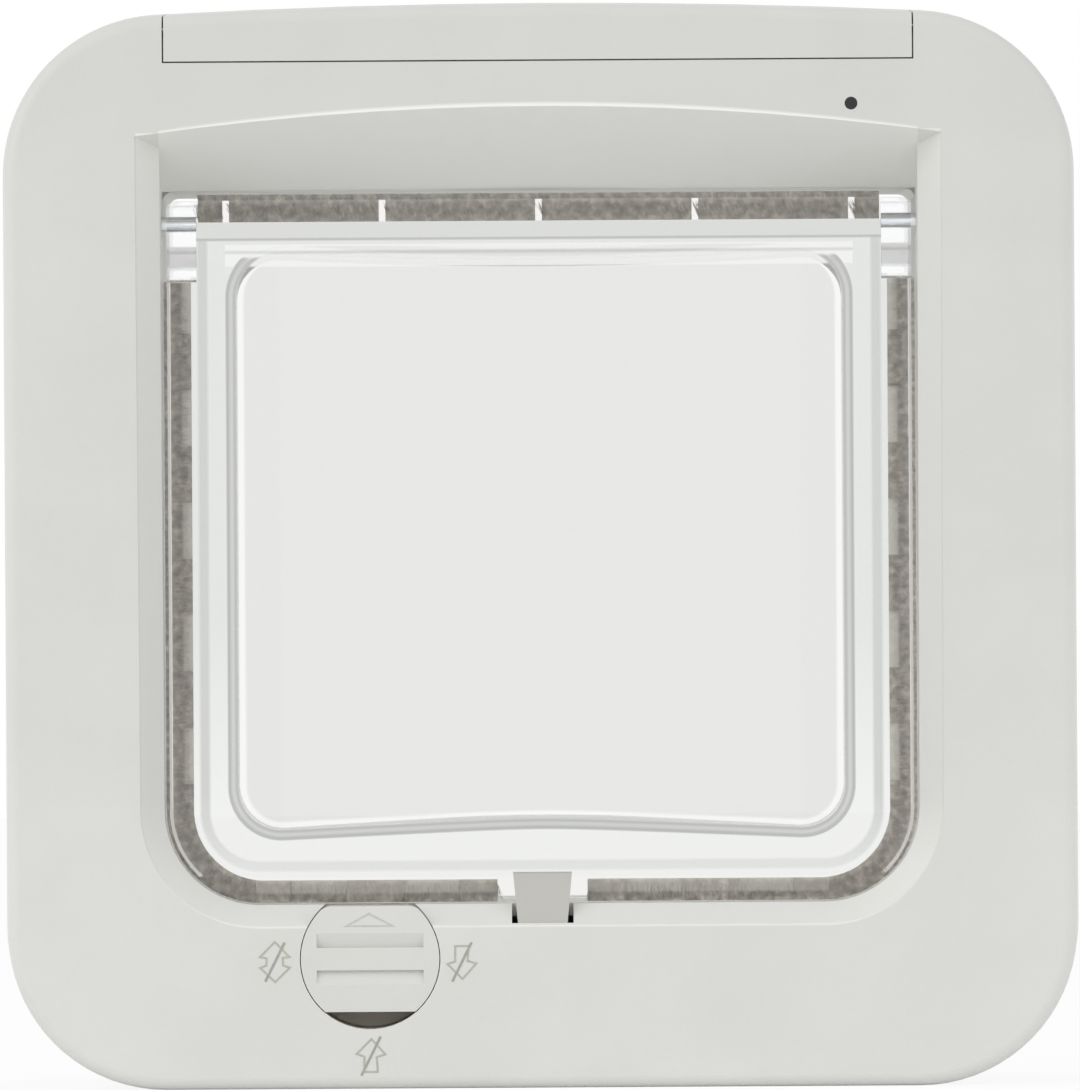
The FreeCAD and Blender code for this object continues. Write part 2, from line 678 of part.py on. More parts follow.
def outer_frame():
    """Hollow frame on the far side of the door, with a tube for each long screw."""
    block = frame_block(DOOR_T, OUTER_END, 0)
    rim = [edge for edge in block.Edges if edge.BoundBox.YMin > OUTER_END - SLIP]
    block = block.makeFillet(EDGE_R, rim)
    space = frame_block(DOOR_T - RUN_OUT, OUTER_END - WALL, WALL)
    collar = opening_prism(DOOR_T + WALL, OUTER_END, 2 * WALL + COIL_T + SLIP)
    collar = collar.cut(opening_prism(DOOR_T, OUTER_END, WALL + COIL_T + SLIP))
    tubes = [rod_y(x, z, BOSS_R + RUN_OUT, DOOR_T, OUTER_END) for x, z in frame_screw_places()]
    body = joined([block.cut(space), collar.common(block)] + [tube.common(block) for tube in tubes])
    cuts = [opening_prism(DOOR_T - RUN_OUT, OUTER_END - WALL, WALL + COIL_T + SLIP)]
    cuts.append(opening_prism(DOOR_T - RUN_OUT, OUTER_END + RUN_OUT, WALL + SLIP))
    for x, z in frame_screw_places():
        cuts.append(rod_y(x, z, SCREW_R + SLIP, DOOR_T, OUTER_END))
        cuts.append(rod_y(x, z, SCREW_HEAD_R + SLIP, OUTER_END - CAP_T - SCREW_HEAD_T, OUTER_END))
    return body.cut(cuts).removeSplitter()


def frame_screws():
    screws = []
    for x, z in frame_screw_places():
        seat = OUTER_END - CAP_T - SCREW_HEAD_T
        shank = rod_y(x, z, SCREW_R, -PLATE_T - SCREW_GRIP + WALL, seat)
        head = rod_y(x, z, SCREW_HEAD_R, seat, seat + SCREW_HEAD_T)
        cross = []
        for half_x, half_z in ((SCREW_R, SCREW_SLOT_W / 2), (SCREW_SLOT_W / 2, SCREW_R)):
            cross.append(box(x - half_x, x + half_x, seat + SCREW_HEAD_T / 2, seat + SCREW_HEAD_T,
                             z - half_z, z + half_z))
        screws.append(shank.fuse(head).cut(cross).removeSplitter())
    return Part.makeCompound(screws)


def screw_caps():
    caps = []
    for x, z in frame_screw_places():
        caps.append(rod_y(x, z, SCREW_HEAD_R + SLIP, OUTER_END - CAP_T, OUTER_END))
    return Part.makeCompound(caps)


def flap_plate(y0, y1, grow, foot_grow):
    wire = opening_wire(y0, grow - FLAP_GAP, -FLAP_TOP_GAP, foot_grow - FLAP_GAP)
    return Part.Face(wire).extrude(V(0, y1 - y0, 0))


def dish_volume(grow):
    """Pocket of the flap with a bowed foot, closed by the bowed pane. grow adds the wall's thickness."""
    wires = []
    for y in (-FLAP_FRONT - RUN_OUT, -FLAP_FRONT + 2 * DISH_DEPTH):
        inward = y + FLAP_FRONT
        out = grow - inward * DISH_DRAFT
        half = FLAP_HALF - DISH_SIDE + out
        low = FLAP_FOOT + DISH_FOOT - out
        high = FLAP_TOP - DISH_HEAD + grow - inward * DISH_TOP_DRAFT
        corner = DISH_R + out
        points = [V(-half, y, low), V(0, y, low + DISH_FOOT_RISE), V(half, y, low),
                  V(half, y, high), V(-half, y, high)]
        wires.append(rounded_wire(points, [corner, DISH_FOOT_R, corner, corner, corner]))
    pocket = Part.makeLoft(wires, True, True)
    axis_y = -FLAP_FRONT + DISH_DEPTH - PANE_R
    bow = rod_z(0, axis_y, PANE_R + grow, -FRAME_DROP, FRAME_TOP)
    return pocket.common(bow)


def flap_band(outer, inner):
    """Band between two outlines of the flap, as deep as the pile. It runs below the hinge lugs."""
    band = flap_plate(-FLAP_BACK, -PILE_BACK, *outer).cut(flap_plate(-FLAP_BACK, -PILE_BACK, *inner))
    return band.common(box(-FRAME_W, FRAME_W, -FLAP_BACK, 0, -FRAME_W, PIVOT_Z - LUG_LOW))


def edge_rim():
    """Thin wall at the flap's edge, which ends above the foot."""
    above = box(-FRAME_W, FRAME_W, -FLAP_BACK, 0, -HALF_H + RIM_END, FLAP_TOP)
    return flap_band((0, 0), (-RIM_T, -RIM_T)).common(above)


def flap_land():
    """Slightly thicker middle of the flap, which stops short of the pile."""
    land = flap_plate(-FLAP_BACK, -FLAP_BACK + LAND_T, -LAND_IN, -LAND_IN)
    return land.common(box(-FRAME_W, FRAME_W, -FLAP_BACK, 0, -FRAME_W, TOP_BAR_LOW))


def retaining_teeth():
    """Clear tabs let into the pile strips, in rows down the sides and along the foot."""
    y0 = -FLAP_BACK
    y1 = -FLAP_BACK + TOOTH_T
    side = FLAP_HALF + PILE_PROUD - PILE_W + TOOTH_IN
    teeth = []
    for index in range(TOOTH_COUNT):
        top = PIVOT_Z - TOOTH_DROP - index * TOOTH_PITCH
        teeth.append(box(side - TOOTH_W, side, y0, y1, top - TOOTH_L, top))
    for index in range(FOOT_TOOTH_COUNT):
        end = FLAP_HALF - FOOT_TOOTH_SIDE - index * TOOTH_PITCH
        teeth.append(box(end - TOOTH_L, end, y0, y1, FLAP_FOOT, FLAP_FOOT + TOOTH_W))
    return both_sides(teeth)


def pile_ribs():
    """Ribs that cross the top pile strip and part it into pieces."""
    first = -(RIB_COUNT - 1) * RIB_PITCH / 2
    ribs = []
    for index in range(RIB_COUNT):
        x = first + index * RIB_PITCH
        ribs.append(box(x - RIB_W / 2, x + RIB_W / 2, -FLAP_FRONT - RIB_PROUD, -PILE_BACK,
                        TOP_PILE_LOW, FLAP_TOP))
    return ribs


def hinge_lug():
    """Block at the flap's upper corner that holds a pin."""
    points = [
        (-FLAP_FRONT - RIB_PROUD, PIVOT_Z - LUG_LOW),
        (PIVOT_Y + LUG_BACK, PIVOT_Z - LUG_BACK),
        (PIVOT_Y + LUG_BACK, PIVOT_Z + LUG_HIGH),
        (-FLAP_FRONT - RIB_PROUD, PIVOT_Z + LUG_HIGH),
    ]
    return bar_x(points, [0, RUN_OUT, RUN_OUT, RUN_OUT], FLAP_HALF - LUG_W, FLAP_HALF)


def flap_panel():
    """Clear moulding: plate, dish, pile channel, tabs, ribs, lugs for the pins and a block for the latch."""
    plate = flap_plate(-FLAP_FRONT, -FLAP_BACK, 0, 0)
    dish = dish_volume(FLAP_T).cut(box(-FAR, FAR, -FAR, -FLAP_FRONT, -FAR, FAR))
    channel = flap_band(PILE_INNER, [grow - CHANNEL_WALL for grow in PILE_INNER])
    top_bar = box(-TOP_PILE_HALF, TOP_PILE_HALF, -FLAP_BACK, -PILE_BACK, TOP_BAR_LOW, TOP_PILE_LOW)
    catch = box(-CATCH_HALF, CATCH_HALF, -FLAP_BACK, -FLAP_FRONT + CATCH_T, FLAP_FOOT, FLAP_FOOT + CATCH_H)
    parts = [plate, dish, channel, flap_land(), edge_rim(), top_bar, catch]
    parts += both_sides([hinge_lug()]) + retaining_teeth() + pile_ribs()
    body = joined(parts)
    pins = both_sides([rod_x(PIVOT_Y, PIVOT_Z, PIN_R, FLAP_HALF - LUG_W, FLAP_HALF)])
    return body.cut([dish_volume(0)] + pins)


def side_pile(sign):
    """Pile strip down one side, round the lower corner and along the foot to the catch."""
    band = flap_band((PILE_PROUD, PILE_PROUD), PILE_INNER).cut([edge_rim()] + retaining_teeth())
    x0, x1 = (CATCH_HALF, FRAME_W) if sign > 0 else (-FRAME_W, -CATCH_HALF)
    return band.common(box(x0, x1, -FAR, 0, -FRAME_W, FRAME_TOP))


def top_pile():
    """Pile along the flap's top, parted by the ribs as high as the plate reaches."""
    strip = box(-TOP_PILE_HALF, TOP_PILE_HALF, -FLAP_BACK, -PILE_BACK, TOP_PILE_LOW, TOP_PILE_HIGH)
    return strip.cut(pile_ribs())


def hinge_pin(sign):
    end = HALF_W + PIN_PLAY + PIN_REACH
    pin = rod_x(PIVOT_Y, PIVOT_Z, PIN_R, FLAP_HALF - LUG_W, end)
    return pin if sign > 0 else mirrored(pin)


def hinge_bush(sign):
    outer = PIN_R + PIN_PLAY + BUSH_WALL
    bush = rod_x(PIVOT_Y, PIVOT_Z, outer, HALF_W + PIN_PLAY, HALF_W + PIN_PLAY + BUSH_L)
    bore = rod_x(PIVOT_Y, PIVOT_Z, PIN_R + PIN_PLAY, HALF_W, HALF_W + PIN_PLAY + BUSH_L)
    bush = bush.cut(bore)
    return bush if sign > 0 else mirrored(bush)


def knob_hub_y():
    return -WEB_FRONT + WEB_T + CLIP_T + SLIP


def lock_knob():
    """Four-way knob. Its front and rear cams keep the flap from swinging in or out."""
    front = rod_y(KNOB_X, KNOB_Z, KNOB_R, -LOW_DEPTH, -KNOB_FRONT_BACK)
    front = front.common(box(KNOB_X - KNOB_R, KNOB_X + KNOB_R, -LOW_DEPTH, -KNOB_FRONT_BACK,
                             KNOB_Z - KNOB_FLAT, KNOB_Z + KNOB_FLAT))
    shoulders = []
    for edge in front.Edges:
        bounds = edge.BoundBox
        if bounds.YLength > SLIP and bounds.ZLength < SLIP and bounds.ZMin > KNOB_Z:
            shoulders.append(edge)
    front = front.makeFillet(KNOB_SHOULDER_R, shoulders)
    neck = rod_y(KNOB_X, KNOB_Z, KNOB_NECK_R, -KNOB_FRONT_BACK, -KNOB_REAR_FRONT)
    rear = rod_y(KNOB_X, KNOB_Z, KNOB_R, -KNOB_REAR_FRONT, -KNOB_REAR_BACK)
    rear = rear.common(box(KNOB_X - KNOB_FLAT, KNOB_X + KNOB_R, -KNOB_REAR_FRONT, -KNOB_REAR_BACK,
                           KNOB_Z - KNOB_R, KNOB_Z + KNOB_FLAT))
    hub_y = knob_hub_y()
    spindle = rod_y(KNOB_X, KNOB_Z, SPINDLE_R, -KNOB_REAR_BACK, hub_y)
    hub = rod_y(KNOB_X, KNOB_Z, HUB_R, hub_y, hub_y + HUB_T)
    body = joined([front, neck, rear, spindle, hub])
    groove_y = -WEB_FRONT + WEB_T + SLIP / 2
    ring = rod_y(KNOB_X, KNOB_Z, SPINDLE_R + SLIP, groove_y, groove_y + CLIP_T)
    cuts = [ring.cut(rod_y(KNOB_X, KNOB_Z, CLIP_GROOVE_R, groove_y, groove_y + CLIP_T))]
    for turn in range(4):
        angle = turn * math.pi / 2
        cuts.append(rod_y(KNOB_X + HUB_R * math.cos(angle), KNOB_Z + HUB_R * math.sin(angle),
                          NOTCH_R, hub_y, hub_y + HUB_T))
    scoop = GRIP_SCOOP * (GRIP_DEPTH + RUN_OUT) / GRIP_DEPTH
    for side in (-1, 1):
        wedge = [
            (-LOW_DEPTH - RUN_OUT, KNOB_Z + side * GRIP_HALF),
            (-LOW_DEPTH + GRIP_DEPTH, KNOB_Z + side * GRIP_HALF),
            (-LOW_DEPTH - RUN_OUT, KNOB_Z + side * (GRIP_HALF + scoop)),
        ]
        cuts.append(bar_x(wedge, [0, 0, 0], KNOB_X - GRIP_L / 2, KNOB_X + GRIP_L / 2))
    return body.cut(cuts)


def knob_clip():
    """Open spring clip in the spindle's groove, behind the web of the cup."""
    y = -WEB_FRONT + WEB_T + SLIP / 2
    ring = rod_y(KNOB_X, KNOB_Z, CLIP_R, y, y + CLIP_T)
    mouth = box(KNOB_X - CLIP_GROOVE_R, KNOB_X + CLIP_GROOVE_R, y, y + CLIP_T, KNOB_Z - CLIP_R, KNOB_Z)
    return ring.cut([rod_y(KNOB_X, KNOB_Z, CLIP_GROOVE_R, y, y + CLIP_T), mouth])


def detent_spring():
    """Leaf spring that rests over a notch of the knob's hub, on the foot of the housing."""
    y0 = knob_hub_y()
    y1 = y0 + HUB_T
    z = KNOB_Z - HUB_R - SLIP - SPRING_T
    foot = -FRAME_DROP + WALL
    half = 2 * HUB_R
    leaf = box(KNOB_X - half, KNOB_X + half, y0, y1, z, z + SPRING_T)
    bump = rod_y(KNOB_X, z + SPRING_T, NOTCH_R - SLIP, y0, y1)
    legs = [box(KNOB_X - half, KNOB_X - half + SPRING_T, y0, y1, foot, z),
            box(KNOB_X + half - SPRING_T, KNOB_X + half, y0, y1, foot, z)]
    return joined([leaf, bump] + legs)


def rack_tooth(z):
    thick = math.pi * GEAR_MODULE / 2 - GEAR_BACKLASH
    root = STEM_BACK_HALF - GEAR_ROOT * GEAR_MODULE
    tip = STEM_BACK_HALF + GEAR_MODULE
    lean = math.tan(math.radians(PRESSURE_DEG)) * GEAR_MODULE
    points = [
        (root, z - thick / 2 - lean * GEAR_ROOT), (tip, z - thick / 2 + lean),
        (tip, z + thick / 2 - lean), (root, z + thick / 2 + lean * GEAR_ROOT),
    ]
    return plate_y(points, [0] * 4, -PINION_FRONT, -LATCH_BACK)


def latch():
    """Latch tab with a sloped nose, on a stem that carries the rack."""
    nose = [
        (-LATCH_BACK, LATCH_TOP), (-LATCH_FRONT_TOP, LATCH_TOP),
        (-LATCH_FRONT_FOOT, LATCH_FOOT_Z), (-LATCH_BACK, LATCH_FOOT_Z),
    ]
    tab = bar_x(nose, [0, RUN_OUT, 0, 0], -LATCH_TOP_HALF, LATCH_TOP_HALF)
    sides = plate_y([(-LATCH_FOOT_HALF, LATCH_FOOT_Z), (LATCH_FOOT_HALF, LATCH_FOOT_Z),
                     (LATCH_TOP_HALF, LATCH_TOP), (-LATCH_TOP_HALF, LATCH_TOP)],
                    [0] * 4, -LATCH_FRONT_FOOT, -LATCH_BACK)
    root = STEM_BACK_HALF - GEAR_ROOT * GEAR_MODULE
    stem = box(-STEM_BACK_HALF, root, -STEM_FRONT, -LATCH_BACK, STEM_END_Z, LATCH_FOOT_Z)
    pitch = math.pi * GEAR_MODULE
    teeth = []
    for index in range(RACK_TEETH):
        teeth.append(rack_tooth(PINION_Z + (index - RACK_TEETH // 2 + 2) * pitch))
    below = box(-FAR, FAR, -FAR, 0, -FRAME_W, LATCH_FOOT_Z)
    return joined([tab.common(sides), stem] + [tooth.common(below) for tooth in teeth])


def motor_pinion():
    """Small spur gear with a gap towards the rack."""
    step = 2 * math.pi / GEAR_TEETH
    root_r = PITCH_R - GEAR_ROOT * GEAR_MODULE
    tip_r = PITCH_R + GEAR_TIP * GEAR_MODULE
    thick = math.pi * GEAR_MODULE / 2 - GEAR_BACKLASH
    root_half = (thick / 2 + GEAR_ROOT_FLARE * GEAR_MODULE) / root_r
    tip_half = (thick / 2 - GEAR_TIP_TAPER * GEAR_MODULE) / tip_r
    y0 = -PINION_FRONT
    y1 = -LATCH_BACK
    parts = [rod_y(PINION_X, PINION_Z, root_r + PIN_PLAY, y0, y1)]
    for index in range(GEAR_TEETH):
        middle = math.pi + (index + 0.5) * step
        corners = []
        for radius, turn in ((root_r, -root_half), (tip_r, -tip_half), (tip_r, tip_half), (root_r, root_half)):
            corners.append((PINION_X + radius * math.cos(middle + turn),
                            PINION_Z + radius * math.sin(middle + turn)))
        parts.append(plate_y(corners, [0] * 4, y0, y1))
    gear = joined(parts)
    return gear.cut(rod_y(PINION_X, PINION_Z, SHAFT_R + PIN_PLAY, y0, y1))


def latch_motor():
    can = rod_y(PINION_X, PINION_Z, MOTOR_R, -MOTOR_FRONT, -MOTOR_BACK)
    nose = rod_y(PINION_X, PINION_Z, MOTOR_R / 3, -MOTOR_FRONT - RUN_OUT, -MOTOR_FRONT)
    shaft = rod_y(PINION_X, PINION_Z, SHAFT_R, -PINION_FRONT, -MOTOR_FRONT)
    return joined([can, nose, shaft])


def battery_tray():
    """Open tray with two bays, resting on posts over the board."""
    tray = box(-TRAY_HALF, TRAY_HALF, TRAY_FRONT, TRAY_BACK, TRAY_LOW, TRAY_TOP)
    front = TRAY_FRONT + TRAY_WALL
    back = TRAY_BACK - TRAY_WALL
    bay = box(BAY_INNER, BAY_INNER + BAY_L, front, back, TRAY_LOW + TRAY_WALL, TRAY_TOP)
    centre = BAY_INNER - TRAY_WALL
    hollow = box(-centre, centre, front, SWITCH_Y - 2 * BUTTON_CAP_R, TRAY_LOW, TRAY_TOP - TRAY_WALL)
    guide = rod_z(0, SWITCH_Y, BUTTON_R + BUTTON_PLAY, TRAY_LOW, TRAY_TOP)
    spared = recess_volume(WALL + SLIP)
    return tray.cut(both_sides([bay]) + [hollow, guide, spared])


def cell_places():
    """Four cells as (middle x, y, direction of the nub)."""
    middle = BAY_INNER + CONTACT_T + CELL_L / 2 + NUB_L
    places = []
    for side in (-1, 1):
        for row in range(2):
            places.append((side * middle, CELL_BACK_Y - row * CELL_PITCH, -side))
    return places


def battery(index):
    x, y, nub = cell_places()[index]
    cell = rod_x(y, CELL_Z, CELL_R, x - CELL_L / 2, x + CELL_L / 2)
    start = x + CELL_L / 2 if nub > 0 else x - CELL_L / 2 - NUB_L
    return cell.fuse(rod_x(y, CELL_Z, NUB_R, start, start + NUB_L)).removeSplitter()


def battery_contacts():
    """Plates at both ends of the bays."""
    plates = []
    for x, y, nub in cell_places():
        if x < 0:
            continue
        for start in (BAY_INNER, BAY_INNER + BAY_L - CONTACT_T):
            plates.append(box(start, start + CONTACT_T, y - CELL_R + SLIP, y + CELL_R - SLIP,
                              TRAY_LOW + TRAY_WALL, TRAY_TOP))
    return Part.makeCompound(both_sides(plates))


def battery_springs():
    """Coil spring between each cell and the contact at the bay's outer end."""
    springs = []
    start = BAY_INNER + CONTACT_T + CELL_L + NUB_L
    length = BAY_L - 2 * CONTACT_T - CELL_L - NUB_L - 2 * BATTERY_SPRING_WIRE
    for row in range(2):
        helix = Part.makeHelix(length / 2, length, BATTERY_SPRING_R)
        circle = Part.Circle(V(BATTERY_SPRING_R, 0, 0), V(0, 1, 0), BATTERY_SPRING_WIRE)
        coil = Part.Wire(helix.Edges).makePipeShell([Part.Wire(circle.toShape())], True, True)
        coil.rotate(V(0, 0, 0), V(0, 1, 0), 90)
        coil.translate(V(start + BATTERY_SPRING_WIRE, CELL_BACK_Y - row * CELL_PITCH, CELL_Z))
        springs.append(coil)
    return Part.makeCompound(both_sides(springs))


def circuit_board():
    return box(-BOARD_HALF, BOARD_HALF, -BOARD_FRONT, -BOARD_BACK, BOARD_Z, BOARD_TOP)


def on_board(x, length, width, height):
    return box(x, x + length, SWITCH_Y - width / 2, SWITCH_Y + width / 2, BOARD_TOP, BOARD_TOP + height)


def board_components():
    """Parts soldered on the board, in a row on both sides of the switch under the learn button."""
    switch_half = SWITCH_SIZE / 2
    reader_x = switch_half + PART_GAP
    right_x = reader_x + READER_L + PART_GAP
    plug_x = right_x + RESISTOR_PITCH + RESISTOR_L + PART_GAP
    left_x = -switch_half - PART_GAP - RESISTOR_PITCH - RESISTOR_L
    parts = [
        on_board(-switch_half, SWITCH_SIZE, SWITCH_SIZE, SWITCH_H),
        on_board(CHIP_X, CHIP_L, CHIP_W, CHIP_H),
        on_board(reader_x, READER_L, READER_W, CHIP_H),
        on_board(plug_x, PLUG_L, PLUG_W, PLUG_H),
    ]
    for x in (left_x, left_x + RESISTOR_PITCH, right_x, right_x + RESISTOR_PITCH):
        parts.append(on_board(x, RESISTOR_L, RESISTOR_W, RESISTOR_H))
    for x in (CAPACITOR_X, CAPACITOR_X - CAPACITOR_PITCH):
        parts.append(rod_z(x, SWITCH_Y, CAPACITOR_R, BOARD_TOP, BOARD_TOP + CAPACITOR_H))
    return Part.makeCompound(parts)


def learn_button():
    low = BOARD_TOP + SWITCH_H + BUTTON_TRAVEL + SLIP
    cap_low = BUTTON_TOP - BUTTON_CAP_T
    stem = rod_z(0, SWITCH_Y, BUTTON_R, low, cap_low)
    cap = rod_z(0, SWITCH_Y, BUTTON_CAP_R, cap_low, BUTTON_TOP)
    return stem.fuse(cap).removeSplitter()


def status_led():
    lens = rod_y(LED_X, LED_Z, LED_R, -HIGH_DEPTH, WALL - HIGH_DEPTH)
    rim = rod_y(LED_X, LED_Z, LED_RIM_R, WALL - HIGH_DEPTH, LED_L - HIGH_DEPTH)
    return lens.fuse(rim).removeSplitter()


NODES = {
    "inner_frame": inner_frame,
    "battery_cover": battery_cover,
    "back_plate": back_plate,
    "back_plate_screws": back_plate_screws,
    "tunnel": tunnel,
    "antenna_coil": antenna_coil,
    "outer_frame": outer_frame,
    "frame_screws": frame_screws,
    "screw_caps": screw_caps,
    "flap_panel": flap_panel,
    "pile_strip_top": top_pile,
    "pile_strip_left": lambda: side_pile(-1),
    "pile_strip_right": lambda: side_pile(1),
    "hinge_pin_left": lambda: hinge_pin(-1),
    "hinge_pin_right": lambda: hinge_pin(1),
    "hinge_bush_left": lambda: hinge_bush(-1),
    "hinge_bush_right": lambda: hinge_bush(1),
    "lock_knob": lock_knob,
    "knob_clip": knob_clip,
    "detent_spring": detent_spring,
    "latch": latch,
    "motor_pinion": motor_pinion,
    "latch_motor": latch_motor,
    "battery_tray": battery_tray,
    "battery_1": lambda: battery(0),
    "battery_2": lambda: battery(1),
    "battery_3": lambda: battery(2),
    "battery_4": lambda: battery(3),
    "battery_contacts": battery_contacts,
    "battery_springs": battery_springs,
    "circuit_board": circuit_board,
    "board_components": board_components,
    "learn_button": learn_button,
    "status_led": status_led,
}

os.makedirs("parts", exist_ok=True)
for name, make in NODES.items():
    shape = make()
    shape.exportStep("parts/" + name + ".step")
    print(name, "solids", len(shape.Solids), "volume", round(shape.Volume), "valid", shape.isValid())
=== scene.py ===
import bmesh
import bpy
import math
import random
from mathutils import Matrix, Vector


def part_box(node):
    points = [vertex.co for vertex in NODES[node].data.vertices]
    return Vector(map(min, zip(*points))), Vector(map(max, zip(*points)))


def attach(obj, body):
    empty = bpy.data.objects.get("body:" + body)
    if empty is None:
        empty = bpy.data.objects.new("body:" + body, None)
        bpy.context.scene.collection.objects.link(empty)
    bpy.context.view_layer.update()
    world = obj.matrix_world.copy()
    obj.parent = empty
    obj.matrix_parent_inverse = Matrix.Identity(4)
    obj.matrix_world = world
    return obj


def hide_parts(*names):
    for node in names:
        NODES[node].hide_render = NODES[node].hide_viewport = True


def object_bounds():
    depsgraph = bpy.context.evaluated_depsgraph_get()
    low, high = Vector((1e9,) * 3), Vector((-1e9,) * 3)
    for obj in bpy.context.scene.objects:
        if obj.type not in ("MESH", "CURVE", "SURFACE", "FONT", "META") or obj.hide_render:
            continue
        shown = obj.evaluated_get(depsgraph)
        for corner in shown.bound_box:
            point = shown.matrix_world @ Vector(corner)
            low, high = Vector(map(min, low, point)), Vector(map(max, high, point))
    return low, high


# Looks of the cat flap: materials for the solids, bristles for the pile, printed arrows, light, camera.
# Everything is in metres in the frame of the solids: X right, Y into the door, Z up. Colours are linear
# red, green and blue.

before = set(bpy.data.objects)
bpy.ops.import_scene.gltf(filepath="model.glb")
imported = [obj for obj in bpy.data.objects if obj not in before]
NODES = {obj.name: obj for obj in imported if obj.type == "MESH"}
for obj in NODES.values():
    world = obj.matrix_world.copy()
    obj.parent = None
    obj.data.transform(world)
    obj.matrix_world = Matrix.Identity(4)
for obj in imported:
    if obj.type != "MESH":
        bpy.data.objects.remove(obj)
cad_low, cad_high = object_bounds()
MM = 0.001
FAR = 1.0    # beyond every point of the part
WHITE = (1, 1, 1)

# The photograph's frame, and how large the object is in it
IMAGE_W = 1080
PIXELS_PER_MM = 5.1
CAMERA_DISTANCE = 4.0
CAMERA_AIM = (-0.1 * MM, 0, 0.2 * MM)
CAMERA_ROLL_DEG = 0.35
SENSOR_W = 36.0

# Light and floor. A lamp is (name, place, size, energy, mirrored).
WORLD_COLOUR = (0.985, 0.995, 1.0)
WORLD_STRENGTH = 0.85
LAMPS = [
    ("key", (-1.6, -1.0, 0.9), 1.3, 10.0, True),
    ("fill", (1.6, -1.0, 0.5), 1.2, 4.0, True),
    ("low", (0.0, -1.2, -0.03), 0.6, 0.5, False),
]
FLOOR_SIZE = 8
FLOOR_COLOUR = (0.86, 0.86, 0.86)
FLOOR_GLOW = 0.9

# Bristles of the pile strips. Each span says in mm, inward from the strip's edge, between which two
# distances a fibre starts, and between which two it ends.
BRISTLES_PER_MM = 30
BRISTLE_R = 0.07 * MM
BRISTLE_TIP = 0.45
FRINGE_EVERY = 3
SIDE_FRINGE = (0.6, 0.68, -0.2, 0.1)
SIDE_INNER = (3.6, 4.95, 1.4, 3.0)
SIDE_WHOLE = (3.2, 4.25, -0.2, 1.6)
TOP_FRINGE = (1.0, 1.18, -0.2, 0.3)
TOP_INNER = (3.6, 5.2, 1.6, 2.8)
PILE_CORE = 0.6                             # thickness of the core, as a share of the strip's
BRISTLE_DEPTHS = (PILE_CORE * 0.95, 0.93)   # shares of the strip's half thickness
TIP_DEPTHS = (0.9, 1.0)                     # shares of the root's depth
LEAN_SPREAD = 0.2
PILE_CORNER_R = 18.2 * MM
WHOLE_BELOW = 4.6 * MM                      # height of the foot, where fibres cross the whole strip
RIB_HALF = 0.8 * MM
RIB_PITCH = 30.4 * MM

# Lock knob and the printing round it
KNOB_X = -33.675 * MM
KNOB_Z = -80.2 * MM
FRONT_Y = -28.0 * MM
PRINT_T = 0.03 * MM
PRINT_STROKE = 0.42 * MM
SLASH_STROKE = 0.5 * MM
POINTER_STROKE = 0.5 * MM
MITRE_LIMIT = 0.35
ARROW_LEFT = (-52.2, -80.7)
ARROW_RIGHT = (-15.8, -80.9)
ARROW_BELOW = (-33.6, -99.1)

# Rounding of the edges that the photo shows soft
EDGE_ROUND = 0.25 * MM
EDGE_SEGMENTS = 2
EDGE_ANGLE_DEG = 35

# Softness of the edges between zones
ZONE_SOFT = 0.3 * MM
LINE_SOFT = 0.2 * MM
HAIR_SOFT = 0.15 * MM

# Zones of the clear flap, which differ a little in tint, much of it painted refraction and painted light. The
# dish and the flap have outlines, which are boxes with rounded corners. The halo, band and lines are measured
# from the dish's outline, the pile and the step from the flap's, negative inside it. The rest are distances
# from the flap's middle.
DISH_MIDDLE_Z = 1.1 * MM
DISH_HALF_W = 59.3 * MM
DISH_HALF_H = 56.7 * MM
DISH_CORNER_R = 9.0 * MM
DISH_BOW = 2.7 * MM
DISH_BOW_SOFT = 9.0 * MM
HALO_IN = -1.6 * MM
BAND_START = -0.15 * MM
BAND_END = 2.0 * MM
LINE_WIDTH = 0.7 * MM
DISH_SIDE_TOP = 56.6 * MM
DISH_TOP_LOW = 54.9 * MM
DISH_TOP_HIGH = 59.2 * MM
TOP_LINE_LOW = 57.4 * MM
TOP_LINE_HIGH = 58.0 * MM
FLAP_HALF_W = 72.6 * MM
FLAP_HALF_H = 69.1 * MM
FLAP_CORNER_R = 17.5 * MM
PILE_REACH = -4.6 * MM
STEP_OUTER = -5.9 * MM
STEP_INNER = -7.8 * MM
STEP_FADE_START = -48.0 * MM
STEP_FADE_END = -62.0 * MM
STEP_FOOT_SHARE = 0.45
BAR_LOW = 60.3 * MM
BAR_HIGH = 63.6 * MM
SEAM_LOW = 59.95 * MM
SEAM_HIGH = 60.45 * MM
LUG_INNER = 66.9 * MM
LUG_LOW = 52.9 * MM
LOW_START = -15.0 * MM
LOW_END = -52.0 * MM

# Tints of those zones, with painted refraction at the step, seam, band and lines, a painted highlight on the
# lugs and painted light over the pile, the share that flat tint has of the dish's edge and of the lugs, and
# how a ray ends that has turned about too often
CLEAR_TINT = (0.755, 0.775, 0.755)
LOW_TINT = (0.865, 0.875, 0.86)
PANE_TINT = (0.785, 0.785, 0.775)
HALO_TINT = (0.93, 0.93, 0.92)
STEP_PAINTED_REFRACTION = (0.62, 0.63, 0.61)
BAR_TINT = (0.69, 0.7, 0.68)
SEAM_PAINTED_REFRACTION = (0.50, 0.51, 0.49)
OVER_PILE_PAINTED_LIGHT = (0.90, 0.885, 0.865)
LUG_PAINTED_HIGHLIGHT = (0.95, 0.955, 0.96)
DISH_EDGE_TINT = (0.90, 0.905, 0.89)
BAND_PAINTED_REFRACTION = (0.62, 0.625, 0.61)
TOP_LINE_PAINTED_REFRACTION = (0.70, 0.71, 0.69)
